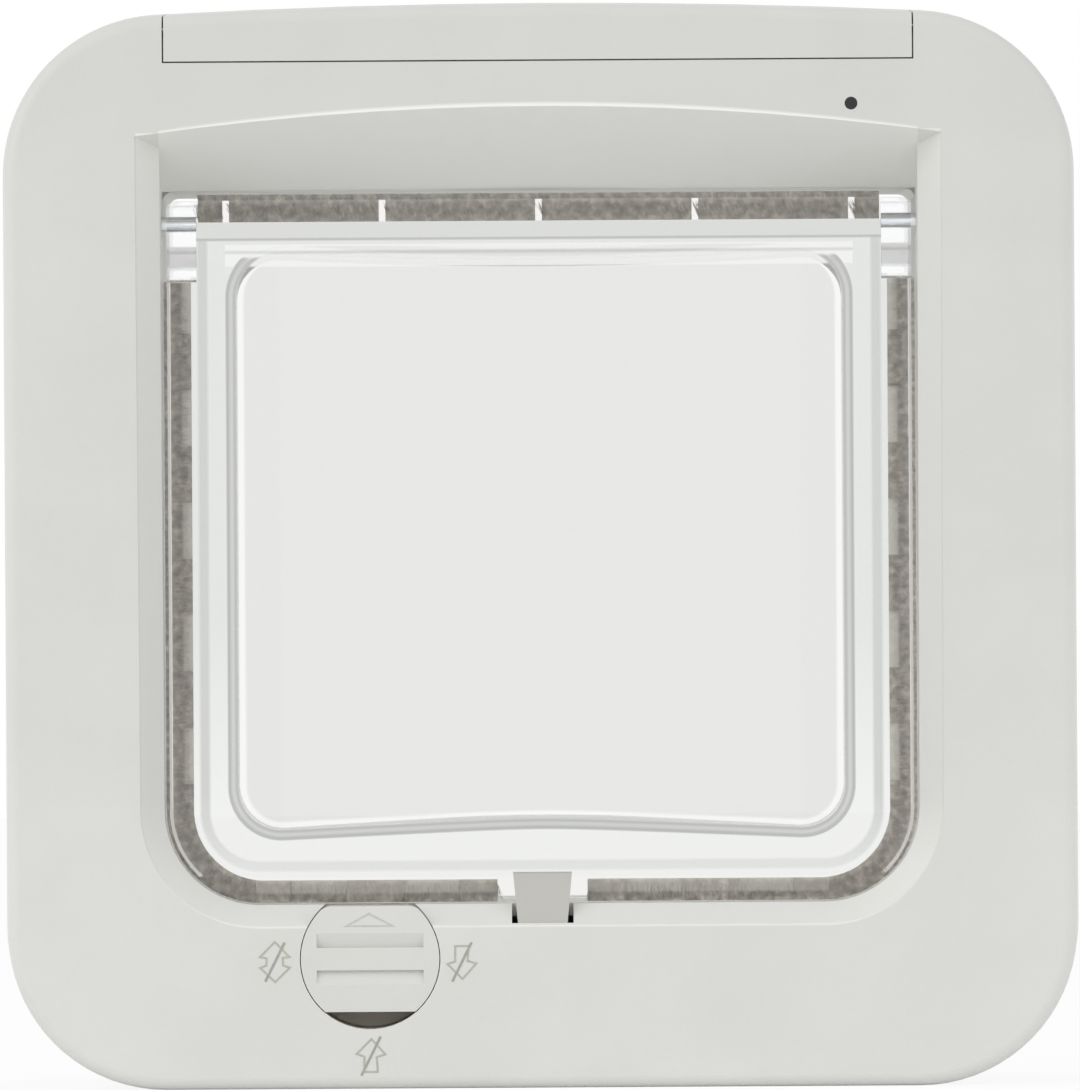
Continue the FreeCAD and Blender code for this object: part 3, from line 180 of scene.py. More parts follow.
LINE_PAINTED_REFRACTION = (0.475, 0.485, 0.475)
DISH_EDGE_SHARE = 0.88
LUG_SHARE = 0.5
DEEP_RAY = 5
DEEP_TINT = (0.72, 0.73, 0.72)
CLEAR_IOR = 1.49

# Zones of the pile, paler by painted light where the flap's tabs hold it, along the foot and at the outer
# fringe in its shaded gap
TAB_PITCH = 22.0 * MM
SIDE_TAB_TOP = 52.9 * MM
SIDE_TAB_LOW = -50.0 * MM
SIDE_TAB_HIGH = 60.0 * MM
SIDE_TAB_IN = 67.2 * MM
SIDE_TAB_OUT = 69.9 * MM
FOOT_TAB_END = 49.25 * MM
FOOT_TAB_LOW = -67.6 * MM
FOOT_TAB_HIGH = -64.0 * MM
FOOT_LIT_HALF_W = 56.0 * MM
SIDE_FRINGE_IN = 72.0 * MM
TOP_FRINGE_LOW = 67.4 * MM
PAINTED_LIGHT_FIBRE_COLOUR = (0.9, 0.89, 0.83)
FOOT_PILE_PAINTED_LIGHT = 0.65
TAB_PILE_PAINTED_LIGHT = 0.75
FRINGE_PILE_PAINTED_LIGHT = 0.25

# Zones of the housing that get painted light: the chamfer, foot and scoop of the recess round the opening, and
# the knob's cup.
# The chamfer is measured from the opening's outline.
OPENING_HALF_W = 73.65 * MM
OPENING_HALF_H = 69.7 * MM
OPENING_CORNER_R = 18.5 * MM
CHAMFER_START = -1.0 * MM
CHAMFER_END = 4.4 * MM
FOOT_START = -56.0 * MM
FOOT_SOFT = 8.0 * MM
SCOOP_SIDE_TOP = 80.5 * MM
SCOOP_LOW = 70.0 * MM
SCOOP_TOP = 86.0 * MM
SCOOP_ARCH = 0.96
KNOB_CUP_R = 15.0 * MM
KNOB_CUP_Y = -27.6 * MM
KNOB_REAR_Y = -20.0 * MM

# Colours of the solids. A step of painted shading is (share of the housing's height, factor), darker towards
# the top.
HOUSING = (0.702, 0.699, 0.670)
HOUSING_REACH = 100.0 * MM
HOUSING_PAINTED_SHADING = [(0.0, 1.035), (0.5, 0.975), (0.78, 0.965), (0.93, 0.915)]
# Painted light that makes the recess's chamfer, its foot and the scoop above the opening paler
CHAMFER_PAINTED_LIGHT = 1.095
FOOT_CHAMFER_PAINTED_LIGHT = 1.22
SCOOP_PAINTED_LIGHT = 1.24
# Painted shade: the battery cover is darker, like the top of the housing
COVER_PAINTED_SHADE = 0.92
# Painted light in the knob's shaded cup and on its rear
KNOB_CUP_PAINTED_LIGHT = (1.0, 0.95, 0.87)
LATCH_GREY = (0.535, 0.525, 0.49)
ACETAL = (0.76, 0.76, 0.72)
BRIGHT_STEEL = (0.85, 0.87, 0.9)
ZINC_STEEL = (0.55, 0.56, 0.57)
BLACK = (0.02, 0.02, 0.022)
LENS_BLACK = (0.012, 0.012, 0.013)
CELL_BLACK = (0.05, 0.055, 0.065)
COPPER_DARK = (0.25, 0.09, 0.035)
COPPER = (0.72, 0.34, 0.16)
TRACK_GREEN = (0.05, 0.24, 0.09)
MASK_GREEN = (0.02, 0.11, 0.04)
PILE_DARK = (0.305, 0.282, 0.246)
PILE_MIDDLE = (0.47, 0.443, 0.397)
PILE_LIGHT = (0.71, 0.682, 0.625)
PRINT_GREY = (0.47, 0.465, 0.40)
SLASH_GREY = (0.38, 0.375, 0.335)
# Painted shade along the raised pointer's outline
POINTER_PAINTED_SHADE = (0.55, 0.55, 0.52)


def shade(colour, factor):
    """A colour made darker or paler."""
    return tuple(min(1.0, channel * factor) for channel in colour)


class Graph:
    """Short ways to add nodes to a shader tree. A value is a socket or a number, a colour is a socket or
    three numbers, and a mask is a value from 0 to 1."""

    def __init__(self, tree):
        self.nodes = tree.nodes
        self.links = tree.links

    def feed(self, node, inputs):
        """Links sockets to a node's inputs and writes numbers into them."""
        for name, value in inputs.items():
            socket = node.inputs[name]
            if isinstance(value, bpy.types.NodeSocket):
                self.links.new(value, socket)
            elif socket.type == "RGBA":
                socket.default_value = (*value, 1)
            else:
                socket.default_value = value

    def add(self, kind, output, inputs):
        """Adds a node and gives its output of that name."""
        node = self.nodes.new(kind)
        self.feed(node, inputs)
        return node.outputs[output]

    def axes(self, place):
        """X, Y and Z of a place."""
        node = self.nodes.new("ShaderNodeSeparateXYZ")
        self.feed(node, {"Vector": place})
        return node.outputs["X"], node.outputs["Y"], node.outputs["Z"]

    def noise(self, place, scale, detail):
        return self.add("ShaderNodeTexNoise", "Fac", {"Vector": place, "Scale": scale, "Detail": detail})

    def ramp(self, value, stops):
        """Colour that follows a value through (position, colour) stops."""
        node = self.nodes.new("ShaderNodeValToRGB")
        elements = node.color_ramp.elements
        while len(elements) < len(stops):
            elements.new(0.5)
        for element, (position, colour) in zip(elements, stops):
            element.position = position
            element.color = (*colour, 1)
        self.feed(node, {"Fac": value})
        return node.outputs["Color"]

    def mottled(self, value, colour, dark, pale):
        """The colour made darker and paler by a noise value."""
        return self.ramp(value, [(0.3, shade(colour, dark)), (0.7, shade(colour, pale))])

    def bump(self, height, strength, distance, below=None):
        """Normal of a finely bumped surface, over another bump where one is given."""
        inputs = {"Height": height, "Strength": strength, "Distance": distance}
        if below is not None:
            inputs["Normal"] = below
        return self.add("ShaderNodeBump", "Normal", inputs)

    def calc(self, operation, first, second=0.0):
        """Arithmetic on one or two values."""
        node = self.nodes.new("ShaderNodeMath")
        node.operation = operation
        self.feed(node, {0: first, 1: second})
        return node.outputs["Value"]

    def over(self, value, limit):
        return self.calc("GREATER_THAN", value, limit)

    def under(self, value, limit):
        return self.calc("LESS_THAN", value, limit)

    def either(self, first, second):
        return self.calc("MAXIMUM", first, second)

    def both(self, first, *others):
        """Product of masks."""
        for other in others:
            first = self.calc("MULTIPLY", first, other)
        return first

    def rise(self, value, start, end, least=0.0):
        """The least value up to the start, 1 from the end on, and a straight line between them. With the
        start above the end it falls instead."""
        return self.add("ShaderNodeMapRange", "Result",
                        {"Value": value, "From Min": start, "From Max": end, "To Min": least})

    def between(self, value, low, high, soft=ZONE_SOFT):
        """1 where the value lies between the two limits, with a soft edge."""
        return self.both(self.rise(value, low - soft, low + soft), self.rise(value, high + soft, high - soft))

    def layered(self, colour, *layers):
        """A colour with (mask, colour) layers laid over it."""
        for mask, laid in layers:
            node = self.nodes.new("ShaderNodeMix")
            node.data_type = "RGBA"
            self.feed(node, {"Factor": mask, "A": colour, "B": laid})
            colour = node.outputs["Result"]
        return colour

    def mixed(self, share, first, second):
        """A shader with a share of another laid over it."""
        return self.add("ShaderNodeMixShader", "Shader", {"Fac": share, 1: first, 2: second})

    def ray(self, *names):
        """Outputs that say what ray looks at the surface."""
        node = self.nodes.new("ShaderNodeLightPath")
        return [node.outputs[name] for name in names]

    def seen_directly(self):
        """1 for camera, glossy and transmitted rays."""
        camera_ray, transmitted, glossy = self.ray("Is Camera Ray", "Is Transmission Ray", "Is Glossy Ray")
        return self.either(self.either(camera_ray, transmitted), glossy)

    def outline_distance(self, x, z, half_w, half_h, radius):
        """Distance from a box with rounded corners, negative inside. X and Z are seen from its middle,
        and X is never negative."""
        past_x = self.calc("ADD", x, radius - half_w)
        past_z = self.calc("ADD", self.calc("ABSOLUTE", z), radius - half_h)
        out_x = self.calc("MAXIMUM", past_x, 0.0)
        out_z = self.calc("MAXIMUM", past_z, 0.0)
        squares = self.calc("ADD", self.calc("MULTIPLY", out_x, out_x), self.calc("MULTIPLY", out_z, out_z))
        within = self.calc("MINIMUM", self.calc("MAXIMUM", past_x, past_z), 0.0)
        return self.calc("SUBTRACT", self.calc("ADD", self.calc("SQRT", squares), within), radius)


def new_material(name):
    """A material, its graph, the place on the object and the surface shader."""
    mat = bpy.data.materials.new(name)
    mat.use_nodes = True
    graph = Graph(mat.node_tree)
    return mat, graph, graph.add("ShaderNodeTexCoord", "Object", {}), graph.nodes["Principled BSDF"]


def moulded_plastic(name, colour, roughness=0.5, grain=0.35, zones=None):
    """Satin plastic from a spark-eroded mould: fine grain, faint mottling. Zones is a function that
    changes the tint from place to place."""
    mat, graph, place, shader = new_material(name)
    tint = graph.mottled(graph.noise(place, 45, 3), colour, 0.98, 1.02)
    if zones is not None:
        tint = zones(graph, place, tint)
    coarse = graph.bump(graph.noise(place, 900, 2), grain * 0.6, 0.12 * MM)
    fine = graph.bump(graph.noise(place, 2600, 3), grain, 0.06 * MM, coarse)
    graph.feed(shader, {"Base Color": tint, "Roughness": roughness, "Normal": fine})
    return mat


def housing_painted_light_and_shade(graph, place, tint):
    """Painted shade and light on the housing's front: darker from foot to top, and paler in the recess round
    the opening, where white walls light each other, and in the knob's shaded cup."""
    x, y, z = graph.axes(place)
    across = graph.calc("ABSOLUTE", x)
    levels = [(position, (factor, factor, factor)) for position, factor in HOUSING_PAINTED_SHADING]
    height_shading = graph.nodes.new("ShaderNodeMix")
    height_shading.data_type = "RGBA"
    height_shading.blend_type = "MULTIPLY"
    graph.feed(height_shading, {"Factor": 1.0, "A": tint,
                        "B": graph.ramp(graph.rise(z, -HOUSING_REACH, HOUSING_REACH), levels)})
    opening = graph.outline_distance(across, graph.calc("MINIMUM", z, 0.0),
                                     OPENING_HALF_W, OPENING_HALF_H, OPENING_CORNER_R)
    chamfer = graph.both(graph.between(opening, CHAMFER_START, CHAMFER_END, LINE_SOFT),
                         graph.under(z, SCOOP_SIDE_TOP))
    foot = graph.both(chamfer, graph.between(z, -FAR, FOOT_START, FOOT_SOFT))
    drop = graph.calc("MULTIPLY", graph.calc("MULTIPLY", across, across), SCOOP_ARCH)
    scoop = graph.both(graph.between(graph.calc("ADD", z, drop), SCOOP_LOW, SCOOP_TOP),
                       graph.under(across, OPENING_HALF_W))
    cup = graph.both(graph.between(x, KNOB_X - KNOB_CUP_R, KNOB_X + KNOB_CUP_R),
                     graph.between(z, KNOB_Z - KNOB_CUP_R, KNOB_Z), graph.over(y, KNOB_CUP_Y))
    return graph.layered(height_shading.outputs["Result"],
                         (chamfer, shade(HOUSING, CHAMFER_PAINTED_LIGHT)), (foot, shade(HOUSING, FOOT_CHAMFER_PAINTED_LIGHT)),
                         (scoop, shade(HOUSING, SCOOP_PAINTED_LIGHT)), (cup, KNOB_CUP_PAINTED_LIGHT))


def knob_painted_light(graph, place, tint):
    """Painted light: makes the knob's shaded rear paler, which is seen through the gap below its front."""
    _, y, _ = graph.axes(place)
    return graph.layered(tint, (graph.over(y, KNOB_REAR_Y), KNOB_CUP_PAINTED_LIGHT))


def dish_distance(graph, x, z):
    """Distance from the outline of the dished pane, whose foot rises a little towards the middle."""
    from_middle = graph.calc("SUBTRACT", z, DISH_MIDDLE_Z)
    squares = graph.calc("ADD", graph.calc("MULTIPLY", x, x), DISH_BOW_SOFT * DISH_BOW_SOFT)
    slope = graph.calc("MULTIPLY", graph.calc("SQRT", squares), -DISH_BOW / DISH_HALF_W)
    bow = graph.both(graph.calc("ADD", slope, DISH_BOW), graph.under(from_middle, -DISH_HALF_H / 2))
    return graph.outline_distance(x, graph.calc("SUBTRACT", from_middle, bow),
                                  DISH_HALF_W, DISH_HALF_H, DISH_CORNER_R)


def pass_through(graph, shader, flat, flat_share):
    """Lets lamp light, and light that has turned about inside the clear part, go straight on. The flat
    tint takes its share of the surface where the moulding's edges would else look black."""
    depth, shadow = graph.ray("Ray Depth", "Is Shadow Ray")
    deep = graph.over(depth, DEEP_RAY)
    clear = graph.add("ShaderNodeBsdfTransparent", "BSDF",
                      {"Color": graph.ramp(deep, [(0.0, WHITE), (1.0, DEEP_TINT)])})
    surface = graph.mixed(flat_share, shader.outputs["BSDF"], flat)
    surface = graph.mixed(graph.either(shadow, deep), surface, clear)
    graph.feed(graph.nodes["Material Output"], {"Surface": surface})


def clear_painted_light_plastic():
    """Polished clear plastic, tinted a little by how thick it is, with painted refraction where it is stepped
    and at the seam, a painted highlight on the lugs and painted light over the pile. Flat tint draws the lines
    of the dish's edge as painted refraction."""
    mat, graph, place, shader = new_material("clear_painted_light_plastic")
    x, _, z = graph.axes(place)
    x = graph.calc("ABSOLUTE", x)
    dish = dish_distance(graph, x, z)
    flap = graph.outline_distance(x, graph.calc("MINIMUM", z, 0.0), FLAP_HALF_W, FLAP_HALF_H, FLAP_CORNER_R)
    step = graph.both(graph.between(flap, STEP_INNER, STEP_OUTER), graph.between(z, -FAR, BAR_LOW),
                      graph.rise(z, STEP_FADE_END, STEP_FADE_START, STEP_FOOT_SHARE))
    over_pile = graph.either(graph.over(flap, PILE_REACH), graph.over(z, BAR_HIGH))
    lugs = graph.both(graph.over(x, LUG_INNER), graph.over(z, LUG_LOW))
    # Painted refraction at the step and seam, painted light over the pile and a painted highlight on the lugs
    tint = graph.layered(CLEAR_TINT,
                         (graph.rise(z, LOW_START, LOW_END), LOW_TINT),
                         (graph.between(dish, HALO_IN, BAND_START), HALO_TINT),
                         (graph.between(dish, -FAR, HALO_IN), PANE_TINT),
                         (step, STEP_PAINTED_REFRACTION),
                         (graph.between(z, BAR_LOW, BAR_HIGH), BAR_TINT),
                         (graph.between(z, SEAM_LOW, SEAM_HIGH, HAIR_SOFT), SEAM_PAINTED_REFRACTION),
                         (over_pile, OVER_PILE_PAINTED_LIGHT),
                         (lugs, LUG_PAINTED_HIGHLIGHT))
    ripple = graph.bump(graph.noise(place, 60, 1), 0.02, 0.1 * MM)
    graph.feed(shader, {"Base Color": tint, "Roughness": 0.0, "IOR": CLEAR_IOR, "Transmission Weight": 1.0,
                        "Normal": ripple})

    # Painted refraction: a darker band and lines along the dish's edge
    beside = graph.between(z, -FAR, DISH_SIDE_TOP)
    band = graph.both(graph.between(dish, BAND_START, BAND_END, HAIR_SOFT), beside)
    outer_line = graph.both(graph.between(dish, BAND_END - LINE_WIDTH, BAND_END, LINE_SOFT), beside)
    inner_line = graph.both(graph.between(dish, BAND_START + LINE_WIDTH / 4, BAND_START + LINE_WIDTH,
                                          LINE_SOFT), beside)
    top_line = graph.between(z, TOP_LINE_LOW, TOP_LINE_HIGH, LINE_SOFT)
    edge_tint = graph.layered(DISH_EDGE_TINT, (lugs, LUG_PAINTED_HIGHLIGHT), (band, BAND_PAINTED_REFRACTION), (top_line, TOP_LINE_PAINTED_REFRACTION),
                              (outer_line, LINE_PAINTED_REFRACTION), (inner_line, LINE_PAINTED_REFRACTION))
    # Two faces lie over what is behind them, so each takes the square root of the tint.
    face_tint = graph.add("ShaderNodeGamma", "Color", {"Color": edge_tint, "Gamma": 0.5})
    flat = graph.add("ShaderNodeBsdfTransparent", "BSDF", {"Color": face_tint})
    top_edge = graph.both(graph.between(z, DISH_TOP_LOW, DISH_TOP_HIGH, LINE_SOFT),
                          graph.under(x, DISH_HALF_W + BAND_END))
    flat_share = graph.either(graph.calc("MULTIPLY", graph.either(band, top_edge), DISH_EDGE_SHARE),
                              graph.calc("MULTIPLY", lugs, LUG_SHARE))
    pass_through(graph, shader, flat, flat_share)
    return mat


def tabs(graph, start, value):
    """Mask of a row of tabs that starts there and runs down the value, with gaps as long as the tabs."""
    turns = graph.calc("DIVIDE", graph.calc("SUBTRACT", start, value), TAB_PITCH)
    return graph.under(graph.calc("FRACT", turns), 0.5)


def pile_painted_light_fibre():
    """Brown-grey brushed fibre with light and dark tufts, and zones of painted light."""
    mat, graph, place, shader = new_material("pile_painted_light_fibre")
    fibres = graph.ramp(graph.noise(place, 700, 4), [(0.3, PILE_DARK), (0.5, PILE_MIDDLE), (0.72, PILE_LIGHT)])
    x, _, z = graph.axes(place)
    x = graph.calc("ABSOLUTE", x)
    # Painted light: paler pile where the tabs hold it, along the lit foot and at the shaded fringe
    side = graph.both(tabs(graph, SIDE_TAB_TOP, z), graph.between(x, SIDE_TAB_IN, SIDE_TAB_OUT),
                      graph.between(z, SIDE_TAB_LOW, SIDE_TAB_HIGH))
    along_foot = graph.between(z, FOOT_TAB_LOW, FOOT_TAB_HIGH)
    foot = graph.both(tabs(graph, FOOT_TAB_END, x), along_foot, graph.between(x, 0.0, FOOT_TAB_END))
    foot_lit = graph.both(along_foot, graph.under(x, FOOT_LIT_HALF_W), FOOT_PILE_PAINTED_LIGHT)
    held = graph.either(side, graph.either(foot, foot_lit))
    fringe = graph.either(graph.between(x, SIDE_FRINGE_IN, FAR), graph.between(z, TOP_FRINGE_LOW, FAR))
    tint = graph.layered(fibres, (graph.both(held, TAB_PILE_PAINTED_LIGHT), PAINTED_LIGHT_FIBRE_COLOUR),
                         (graph.both(fringe, FRINGE_PILE_PAINTED_LIGHT), PAINTED_LIGHT_FIBRE_COLOUR))
    fuzz = graph.bump(graph.noise(place, 3500, 2), 0.5, 0.1 * MM)
    graph.feed(shader, {"Base Color": tint, "Roughness": 0.85, "Sheen Weight": 0.25, "Sheen Roughness": 0.5,
                        "Normal": fuzz})
    return mat


def metal(name, colour, roughness, stretch=(1, 1, 1)):
    """Metal with fine marks, which the stretch draws out along an axis."""
    mat, graph, place, shader = new_material(name)
    stretched = graph.add("ShaderNodeMapping", "Vector", {"Vector": place, "Scale": stretch})
    marks = graph.noise(stretched, 1200, 3)
    graph.feed(shader, {"Base Color": graph.mottled(marks, colour, 0.9, 1.08), "Metallic": 1.0,
                        "Roughness": roughness, "Normal": graph.bump(marks, 0.15, 0.03 * MM)})
    return mat


def smooth_plastic(name, colour, roughness):
    """Plain moulded plastic with a smooth surface."""
    mat, graph, place, shader = new_material(name)
    tint = graph.mottled(graph.noise(place, 300, 3), colour, 0.96, 1.04)
    ripple = graph.bump(graph.noise(place, 1800, 2), 0.08, 0.05 * MM)
    graph.feed(shader, {"Base Color": tint, "Roughness": roughness, "Normal": ripple})
    return mat


def wound_wire():
    """Lacquered copper wire, turn beside turn along the tunnel."""
    mat, graph, place, shader = new_material("wound_wire")
    wave = graph.nodes.new("ShaderNodeTexWave")
    wave.bands_direction = "Y"
    graph.feed(wave, {"Vector": place, "Scale": 500, "Distortion": 0.4})
    turns = wave.outputs["Fac"]
    graph.feed(shader, {"Base Color": graph.ramp(turns, [(0.2, COPPER_DARK), (0.8, COPPER)]),
                        "Metallic": 0.9, "Roughness": 0.3, "Normal": graph.bump(turns, 0.6, 0.15 * MM)})
    return mat


def circuit_mask():
    """Green solder mask with lighter copper tracks under it."""
    mat, graph, place, shader = new_material("circuit_mask")
    cells = graph.nodes.new("ShaderNodeTexVoronoi")
    cells.feature = "DISTANCE_TO_EDGE"
    cells.distance = "MANHATTAN"
    graph.feed(cells, {"Vector": place, "Scale": 260})
    tint = graph.ramp(cells.outputs["Distance"], [(0.04, TRACK_GREEN), (0.1, MASK_GREEN)])
    graph.feed(shader, {"Base Color": tint, "Roughness": 0.25, "Coat Weight": 0.3})
    return mat


def printed_ink(name, colour):
    """Matt ink, a little uneven."""
    mat, graph, place, shader = new_material(name)
    tint = graph.mottled(graph.noise(place, 1500, 3), colour, 0.92, 1.1)
    graph.feed(shader, {"Base Color": tint, "Roughness": 0.6})
    return mat


def dress(mat, *names):
    """Gives solids their material."""
    for name in names:
        slots = NODES[name].data.materials
        slots.clear()
        slots.append(mat)


def soften(name):
    """Small rounding on the sharp edges of a solid."""
    rounding = NODES[name].modifiers.new("edge_rounding", "BEVEL")
    rounding.width = EDGE_ROUND
    rounding.segments = EDGE_SEGMENTS
    rounding.limit_method = "ANGLE"
    rounding.angle_limit = math.radians(EDGE_ANGLE_DEG)
    rounding.harden_normals = True


def new_piece(bm, name, mat):
    """A piece of the scene from a finished bmesh."""
    mesh = bpy.data.meshes.new(name)
    bm.to_mesh(mesh)
    bm.free()
    mesh.materials.append(mat)
    piece = bpy.data.objects.new(name, mesh)
    bpy.context.scene.collection.objects.link(piece)
    return piece


def bristle(bm, root, tip, side, depth):
    """One tapered three-sided fibre."""
    rings = []
    for point, radius in ((root, BRISTLE_R), (tip, BRISTLE_R * BRISTLE_TIP)):
        ring = []
        for turn in range(3):
            angle = 2 * math.pi * turn / 3
            offset = side * (radius * math.cos(angle)) + depth * (radius * math.sin(angle))
            ring.append(bm.verts.new(point + offset))
        rings.append(ring)
    start, end = rings
    for turn in range(3):
        after = (turn + 1) % 3
        bm.faces.new((start[turn], start[after], end[after], end[turn]))
    bm.faces.new(end)
    bm.faces.new(start[::-1])


def side_route(low, high):
    """Down a side strip, round the corner and along the foot. Yields outer point, outward and span."""
    left = abs(low.x) > abs(high.x)
    sign = -1 if left else 1
    outer_x = low.x if left else high.x
    inner_x = high.x if left else low.x
    corner_x = outer_x - sign * PILE_CORNER_R
    corner_z = low.z + PILE_CORNER_R
    side_l = high.z - corner_z
    arc_l = PILE_CORNER_R * math.pi / 2
    total = side_l + arc_l + abs(corner_x - inner_x)
    count = int(total / MM * BRISTLES_PER_MM)
    for index in range(count):
        run = total * (index + 0.5) / count
        if run < side_l:
            point, out = Vector((outer_x, 0, high.z - run)), Vector((sign, 0, 0))
        elif run < side_l + arc_l:
            angle = (run - side_l) / PILE_CORNER_R
            out = Vector((sign * math.cos(angle), 0, -math.sin(angle)))
            point = Vector((corner_x, 0, corner_z)) + out * PILE_CORNER_R
        else:
            point, out = Vector((corner_x - sign * (run - side_l - arc_l), 0, low.z)), Vector((0, 0, -1))
        if point.z < low.z + WHOLE_BELOW:
            yield point, out, SIDE_WHOLE
        else:
            yield point, out, SIDE_FRINGE if index % FRINGE_EVERY == 0 else SIDE_INNER


def top_route(low, high):
    """Along the top strip. The inner fibres leave out the flap's ribs."""
    count = int((high.x - low.x) / MM * BRISTLES_PER_MM)
    for index in range(count):
        x = low.x + (high.x - low.x) * (index + 0.5) / count
        off_rib = abs(x - RIB_PITCH * round(x / RIB_PITCH))
        if index % FRINGE_EVERY == 0:
            yield Vector((x, 0, high.z)), Vector((0, 0, 1)), TOP_FRINGE
        elif off_rib > RIB_HALF:
            yield Vector((x, 0, high.z)), Vector((0, 0, 1)), TOP_INNER


def pile_strip(node, route, lean, mat, seed):
    """Brushed pile over a core of the strip's own shape, front and back."""
    chance = random.Random(seed)
    low, high = (Vector(corner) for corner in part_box(node))
    middle_y = (low.y + high.y) / 2
    half = (high.y - low.y) / 2
    along_y = Vector((0, 1, 0))
    bm = bmesh.new()
    bm.from_mesh(NODES[node].data)
    for vert in bm.verts:
        vert.co.y = middle_y + (vert.co.y - middle_y) * PILE_CORE
    for point, out, span in route(low, high):
        along = out.cross(along_y)
        level = chance.choice((-1, 1)) * chance.uniform(*BRISTLE_DEPTHS)
        start = chance.uniform(span[0], span[1]) * MM
        end = chance.uniform(span[2], span[3]) * MM
        root = point - out * start
        root.y = middle_y + half * level
        tip = point - out * end + along * (start - end) * (lean + chance.gauss(0, LEAN_SPREAD))
        tip.y = middle_y + half * level * chance.uniform(*TIP_DEPTHS)
        bristle(bm, root, tip, along, along_y)
    piece = new_piece(bm, node + "_bristles", mat)
    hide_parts(node)
    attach(piece, "flap")


def stroke(bm, points, width, y, thickness, closed):
    """Flat ribbon along a line of (x, z) points, mitred at its corners."""
    count = len(points)
    sides = []
    for index in range(count):
        here = Vector(points[index])
        before = Vector(points[index - 1]) if closed or index > 0 else None
        after = Vector(points[(index + 1) % count]) if closed or index < count - 1 else None
        into = (here - before).normalized() if before is not None else (after - here).normalized()
        onward = (after - here).normalized() if after is not None else into
        normal = Vector((-into.y - onward.y, into.x + onward.x)).normalized()
        reach = width / 2 / max(MITRE_LIMIT, normal.dot(Vector((-into.y, into.x))))
        sides.append((here + normal * reach, here - normal * reach))
    rows = []
    for pair in sides:
        rows.append([bm.verts.new((p.x, depth, p.y)) for p in pair for depth in (y, y - thickness)])
    steps = count if closed else count - 1
    for index in range(steps):
        one, two = rows[index], rows[(index + 1) % count]
        for p, q in ((0, 1), (1, 3), (3, 2), (2, 0)):
            bm.faces.new((one[p], one[q], two[q], two[p]))
    if not closed:
        bm.faces.new((rows[0][0], rows[0][2], rows[0][3], rows[0][1]))
        bm.faces.new((rows[-1][0], rows[-1][1], rows[-1][3], rows[-1][2]))


def drawing(name, lines, mat, y, body):
    """Printed lines: each is (points in mm, width, closed)."""
    bm = bmesh.new()
    for points, width, closed in lines:
        stroke(bm, [(x * MM, z * MM) for x, z in points], width, y, PRINT_T, closed)
    bmesh.ops.recalc_face_normals(bm, faces=bm.faces)
    piece = new_piece(bm, name, mat)
    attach(piece, body)


def arrow_one_way(x, z, up=False):
    """Outline of a block arrow 5.6 mm wide and 6.4 mm tall."""
    outline = [(-1.3, 3.1), (1.3, 3.1), (1.1, 0.2), (2.8, -0.3), (0.1, -3.3), (-2.8, -0.4), (-1.3, 0.1)]
    return [(x + px, z - pz if up else z + pz) for px, pz in outline]


def arrow_both_ways(x, z):
    """Outline of a short arrow with a head at each end."""
    outline = [(0.0, 3.9), (2.8, 1.0), (1.5, 0.8), (1.6, -0.7), (2.9, -1.1), (0.0, -3.9),
               (-2.9, -1.1), (-1.7, -0.7), (-1.6, 0.7), (-2.9, 1.0)]
    return [(x + px, z + pz) for px, pz in outline]


def slash(x, z):
    """Line through an arrow."""
    return [(x - 1.9, z - 3.8), (x + 1.9, z + 3.8)]


def pointer_outline():
    """Outline of the raised triangle near the knob's top, in mm, drawn as flat lines of painted shade."""
    x, z = KNOB_X / MM, KNOB_Z / MM
    return [(x - 4.6, z + 6.4), (x + 4.4, z + 6.4), (x - 0.2, z + 8.8)]


def world_light():
    """Even light from all sides, white where the camera, a mirror or glass looks at it."""
    world = bpy.data.worlds.new("studio")
    bpy.context.scene.world = world
    world.use_nodes = True
    graph = Graph(world.node_tree)
    ambient = graph.nodes["Background"]
    graph.feed(ambient, {"Color": WORLD_COLOUR, "Strength": WORLD_STRENGTH})
    white = graph.add("ShaderNodeBackground", "Background", {"Color": WHITE, "Strength": 1.0})
    graph.feed(graph.nodes["World Output"],
               {"Surface": graph.mixed(graph.seen_directly(), ambient.outputs["Background"], white)})


def floor(level):
    """Plain pale floor that keeps a soft shadow."""
    bpy.ops.mesh.primitive_plane_add(size=FLOOR_SIZE, location=(0, 0, level))
    plane = bpy.context.active_object
    plane.name = "floor"
    mat = bpy.data.materials.new("floor")
    mat.use_nodes = True
    graph = Graph(mat.node_tree)
    graph.nodes.clear()
    diffuse = graph.add("ShaderNodeBsdfDiffuse", "BSDF", {"Color": FLOOR_COLOUR})
    glow = graph.add("ShaderNodeEmission", "Emission", {"Color": WHITE, "Strength": 1.0})
    share = graph.both(graph.seen_directly(), FLOOR_GLOW)
    output = graph.nodes.new("ShaderNodeOutputMaterial")
    graph.feed(output, {"Surface": graph.mixed(share, diffuse, glow)})
    plane.data.materials.append(mat)


def area_light(name, place, size, energy, mirrored):
    """Square lamp that looks at the origin."""
    data = bpy.data.lights.new(name, "AREA")
    data.shape = "SQUARE"
    data.size = size
    data.energy = energy
    lamp = bpy.data.objects.new(name, data)
    bpy.context.scene.collection.objects.link(lamp)
    lamp.location = place
    lamp.rotation_euler = (-Vector(place)).to_track_quat("-Z", "Y").to_euler()
    lamp.visible_glossy = mirrored


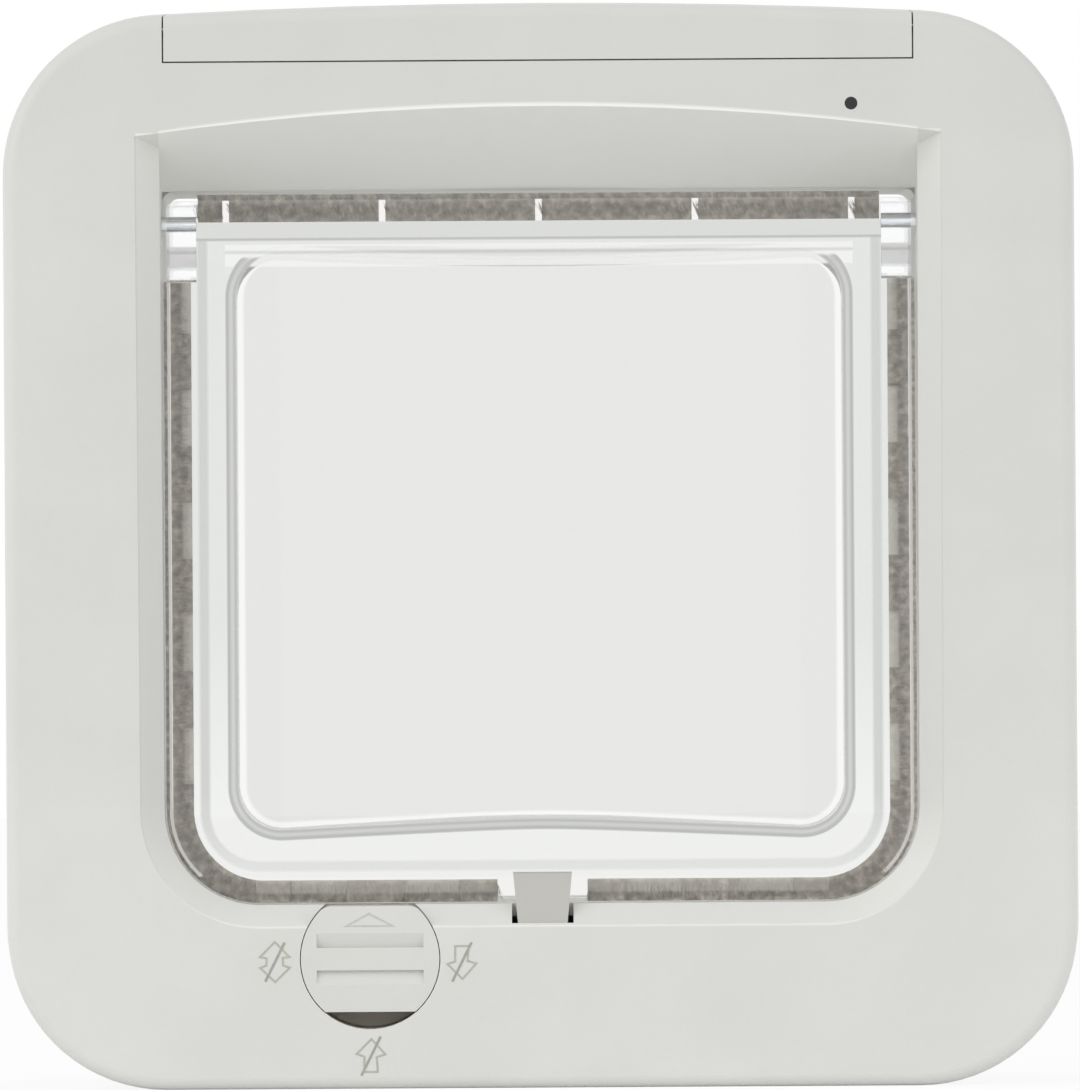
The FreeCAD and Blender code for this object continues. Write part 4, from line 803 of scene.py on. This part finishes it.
def camera():
    """Camera square to the front, at the photo's scale and with its slight roll."""
    data = bpy.data.cameras.new("camera")
    data.sensor_fit = "HORIZONTAL"
    data.sensor_width = SENSOR_W
    width = IMAGE_W / PIXELS_PER_MM * MM
    data.lens = SENSOR_W * CAMERA_DISTANCE / width
    eye = bpy.data.objects.new("camera", data)
    bpy.context.scene.collection.objects.link(eye)
    upright = Matrix.Rotation(math.pi / 2, 4, "X")
    roll = Matrix.Rotation(math.radians(CAMERA_ROLL_DEG), 4, "Y")
    stand = Vector(CAMERA_AIM) + Vector((0, -CAMERA_DISTANCE, 0))
    eye.matrix_world = Matrix.Translation(stand) @ roll @ upright
    bpy.context.scene.camera = eye


# Materials of the solids, with painted light and shade on the front, the knob, the battery cover and the clear
# flap
dress(moulded_plastic("front_painted_light_plastic", HOUSING, zones=housing_painted_light_and_shade), "inner_frame")
dress(moulded_plastic("housing_plastic", HOUSING), "back_plate", "tunnel", "outer_frame", "screw_caps",
      "battery_tray")
dress(moulded_plastic("cover_painted_shade_plastic", shade(HOUSING, COVER_PAINTED_SHADE)), "battery_cover")
dress(moulded_plastic("knob_painted_light_plastic", HOUSING, 0.45, 0.2, knob_painted_light), "lock_knob")
dress(moulded_plastic("button_plastic", HOUSING, 0.45, 0.2), "learn_button")
dress(moulded_plastic("latch_plastic", LATCH_GREY, 0.45, 0.2), "latch")
dress(clear_painted_light_plastic(), "flap_panel")
dress(smooth_plastic("acetal", ACETAL, 0.35), "hinge_bush_left", "hinge_bush_right", "motor_pinion")
dress(metal("drawn_steel", BRIGHT_STEEL, 0.18, (0.1, 1, 1)), "hinge_pin_left", "hinge_pin_right")
dress(metal("zinc_steel", ZINC_STEEL, 0.3), "frame_screws", "back_plate_screws", "knob_clip",
      "detent_spring", "battery_contacts", "battery_springs", "latch_motor")
dress(wound_wire(), "antenna_coil")
dress(circuit_mask(), "circuit_board")
dress(smooth_plastic("black_moulding", BLACK, 0.4), "board_components")
dress(smooth_plastic("dark_lens", LENS_BLACK, 0.2), "status_led")
dress(smooth_plastic("cell_sleeve", CELL_BLACK, 0.3), "battery_1", "battery_2", "battery_3", "battery_4")

for rounded in ("latch", "lock_knob", "battery_cover"):
    soften(rounded)

# Pile strips of the flap
fibre = pile_painted_light_fibre()
pile_strip("pile_strip_top", top_route, 0.35, fibre, 11)
pile_strip("pile_strip_left", side_route, 0.1, fibre, 12)
pile_strip("pile_strip_right", side_route, 0.1, fibre, 13)

# Arrows printed round the knob, and painted shade along the outline of its raised pointer
drawing("printed_arrows", [
    (arrow_both_ways(*ARROW_LEFT), PRINT_STROKE, True),
    (arrow_one_way(*ARROW_RIGHT), PRINT_STROKE, True),
    (arrow_one_way(*ARROW_BELOW, up=True), PRINT_STROKE, True),
], printed_ink("print_grey", PRINT_GREY), FRONT_Y, "frame")
drawing("printed_slashes", [
    (slash(*ARROW_LEFT), SLASH_STROKE, False),
    (slash(*ARROW_RIGHT), SLASH_STROKE, False),
    (slash(*ARROW_BELOW), SLASH_STROKE, False),
], printed_ink("slash_grey", SLASH_GREY), FRONT_Y - PRINT_T / 2, "frame")
drawing("knob_pointer", [(pointer_outline(), POINTER_STROKE, True)],
        printed_ink("pointer_painted_shade", POINTER_PAINTED_SHADE), FRONT_Y, "lock_knob")

# Studio
floor(cad_low[2])
world_light()
for lamp in LAMPS:
    area_light(*lamp)
camera()

bpy.context.scene.view_settings.view_transform = "Standard"
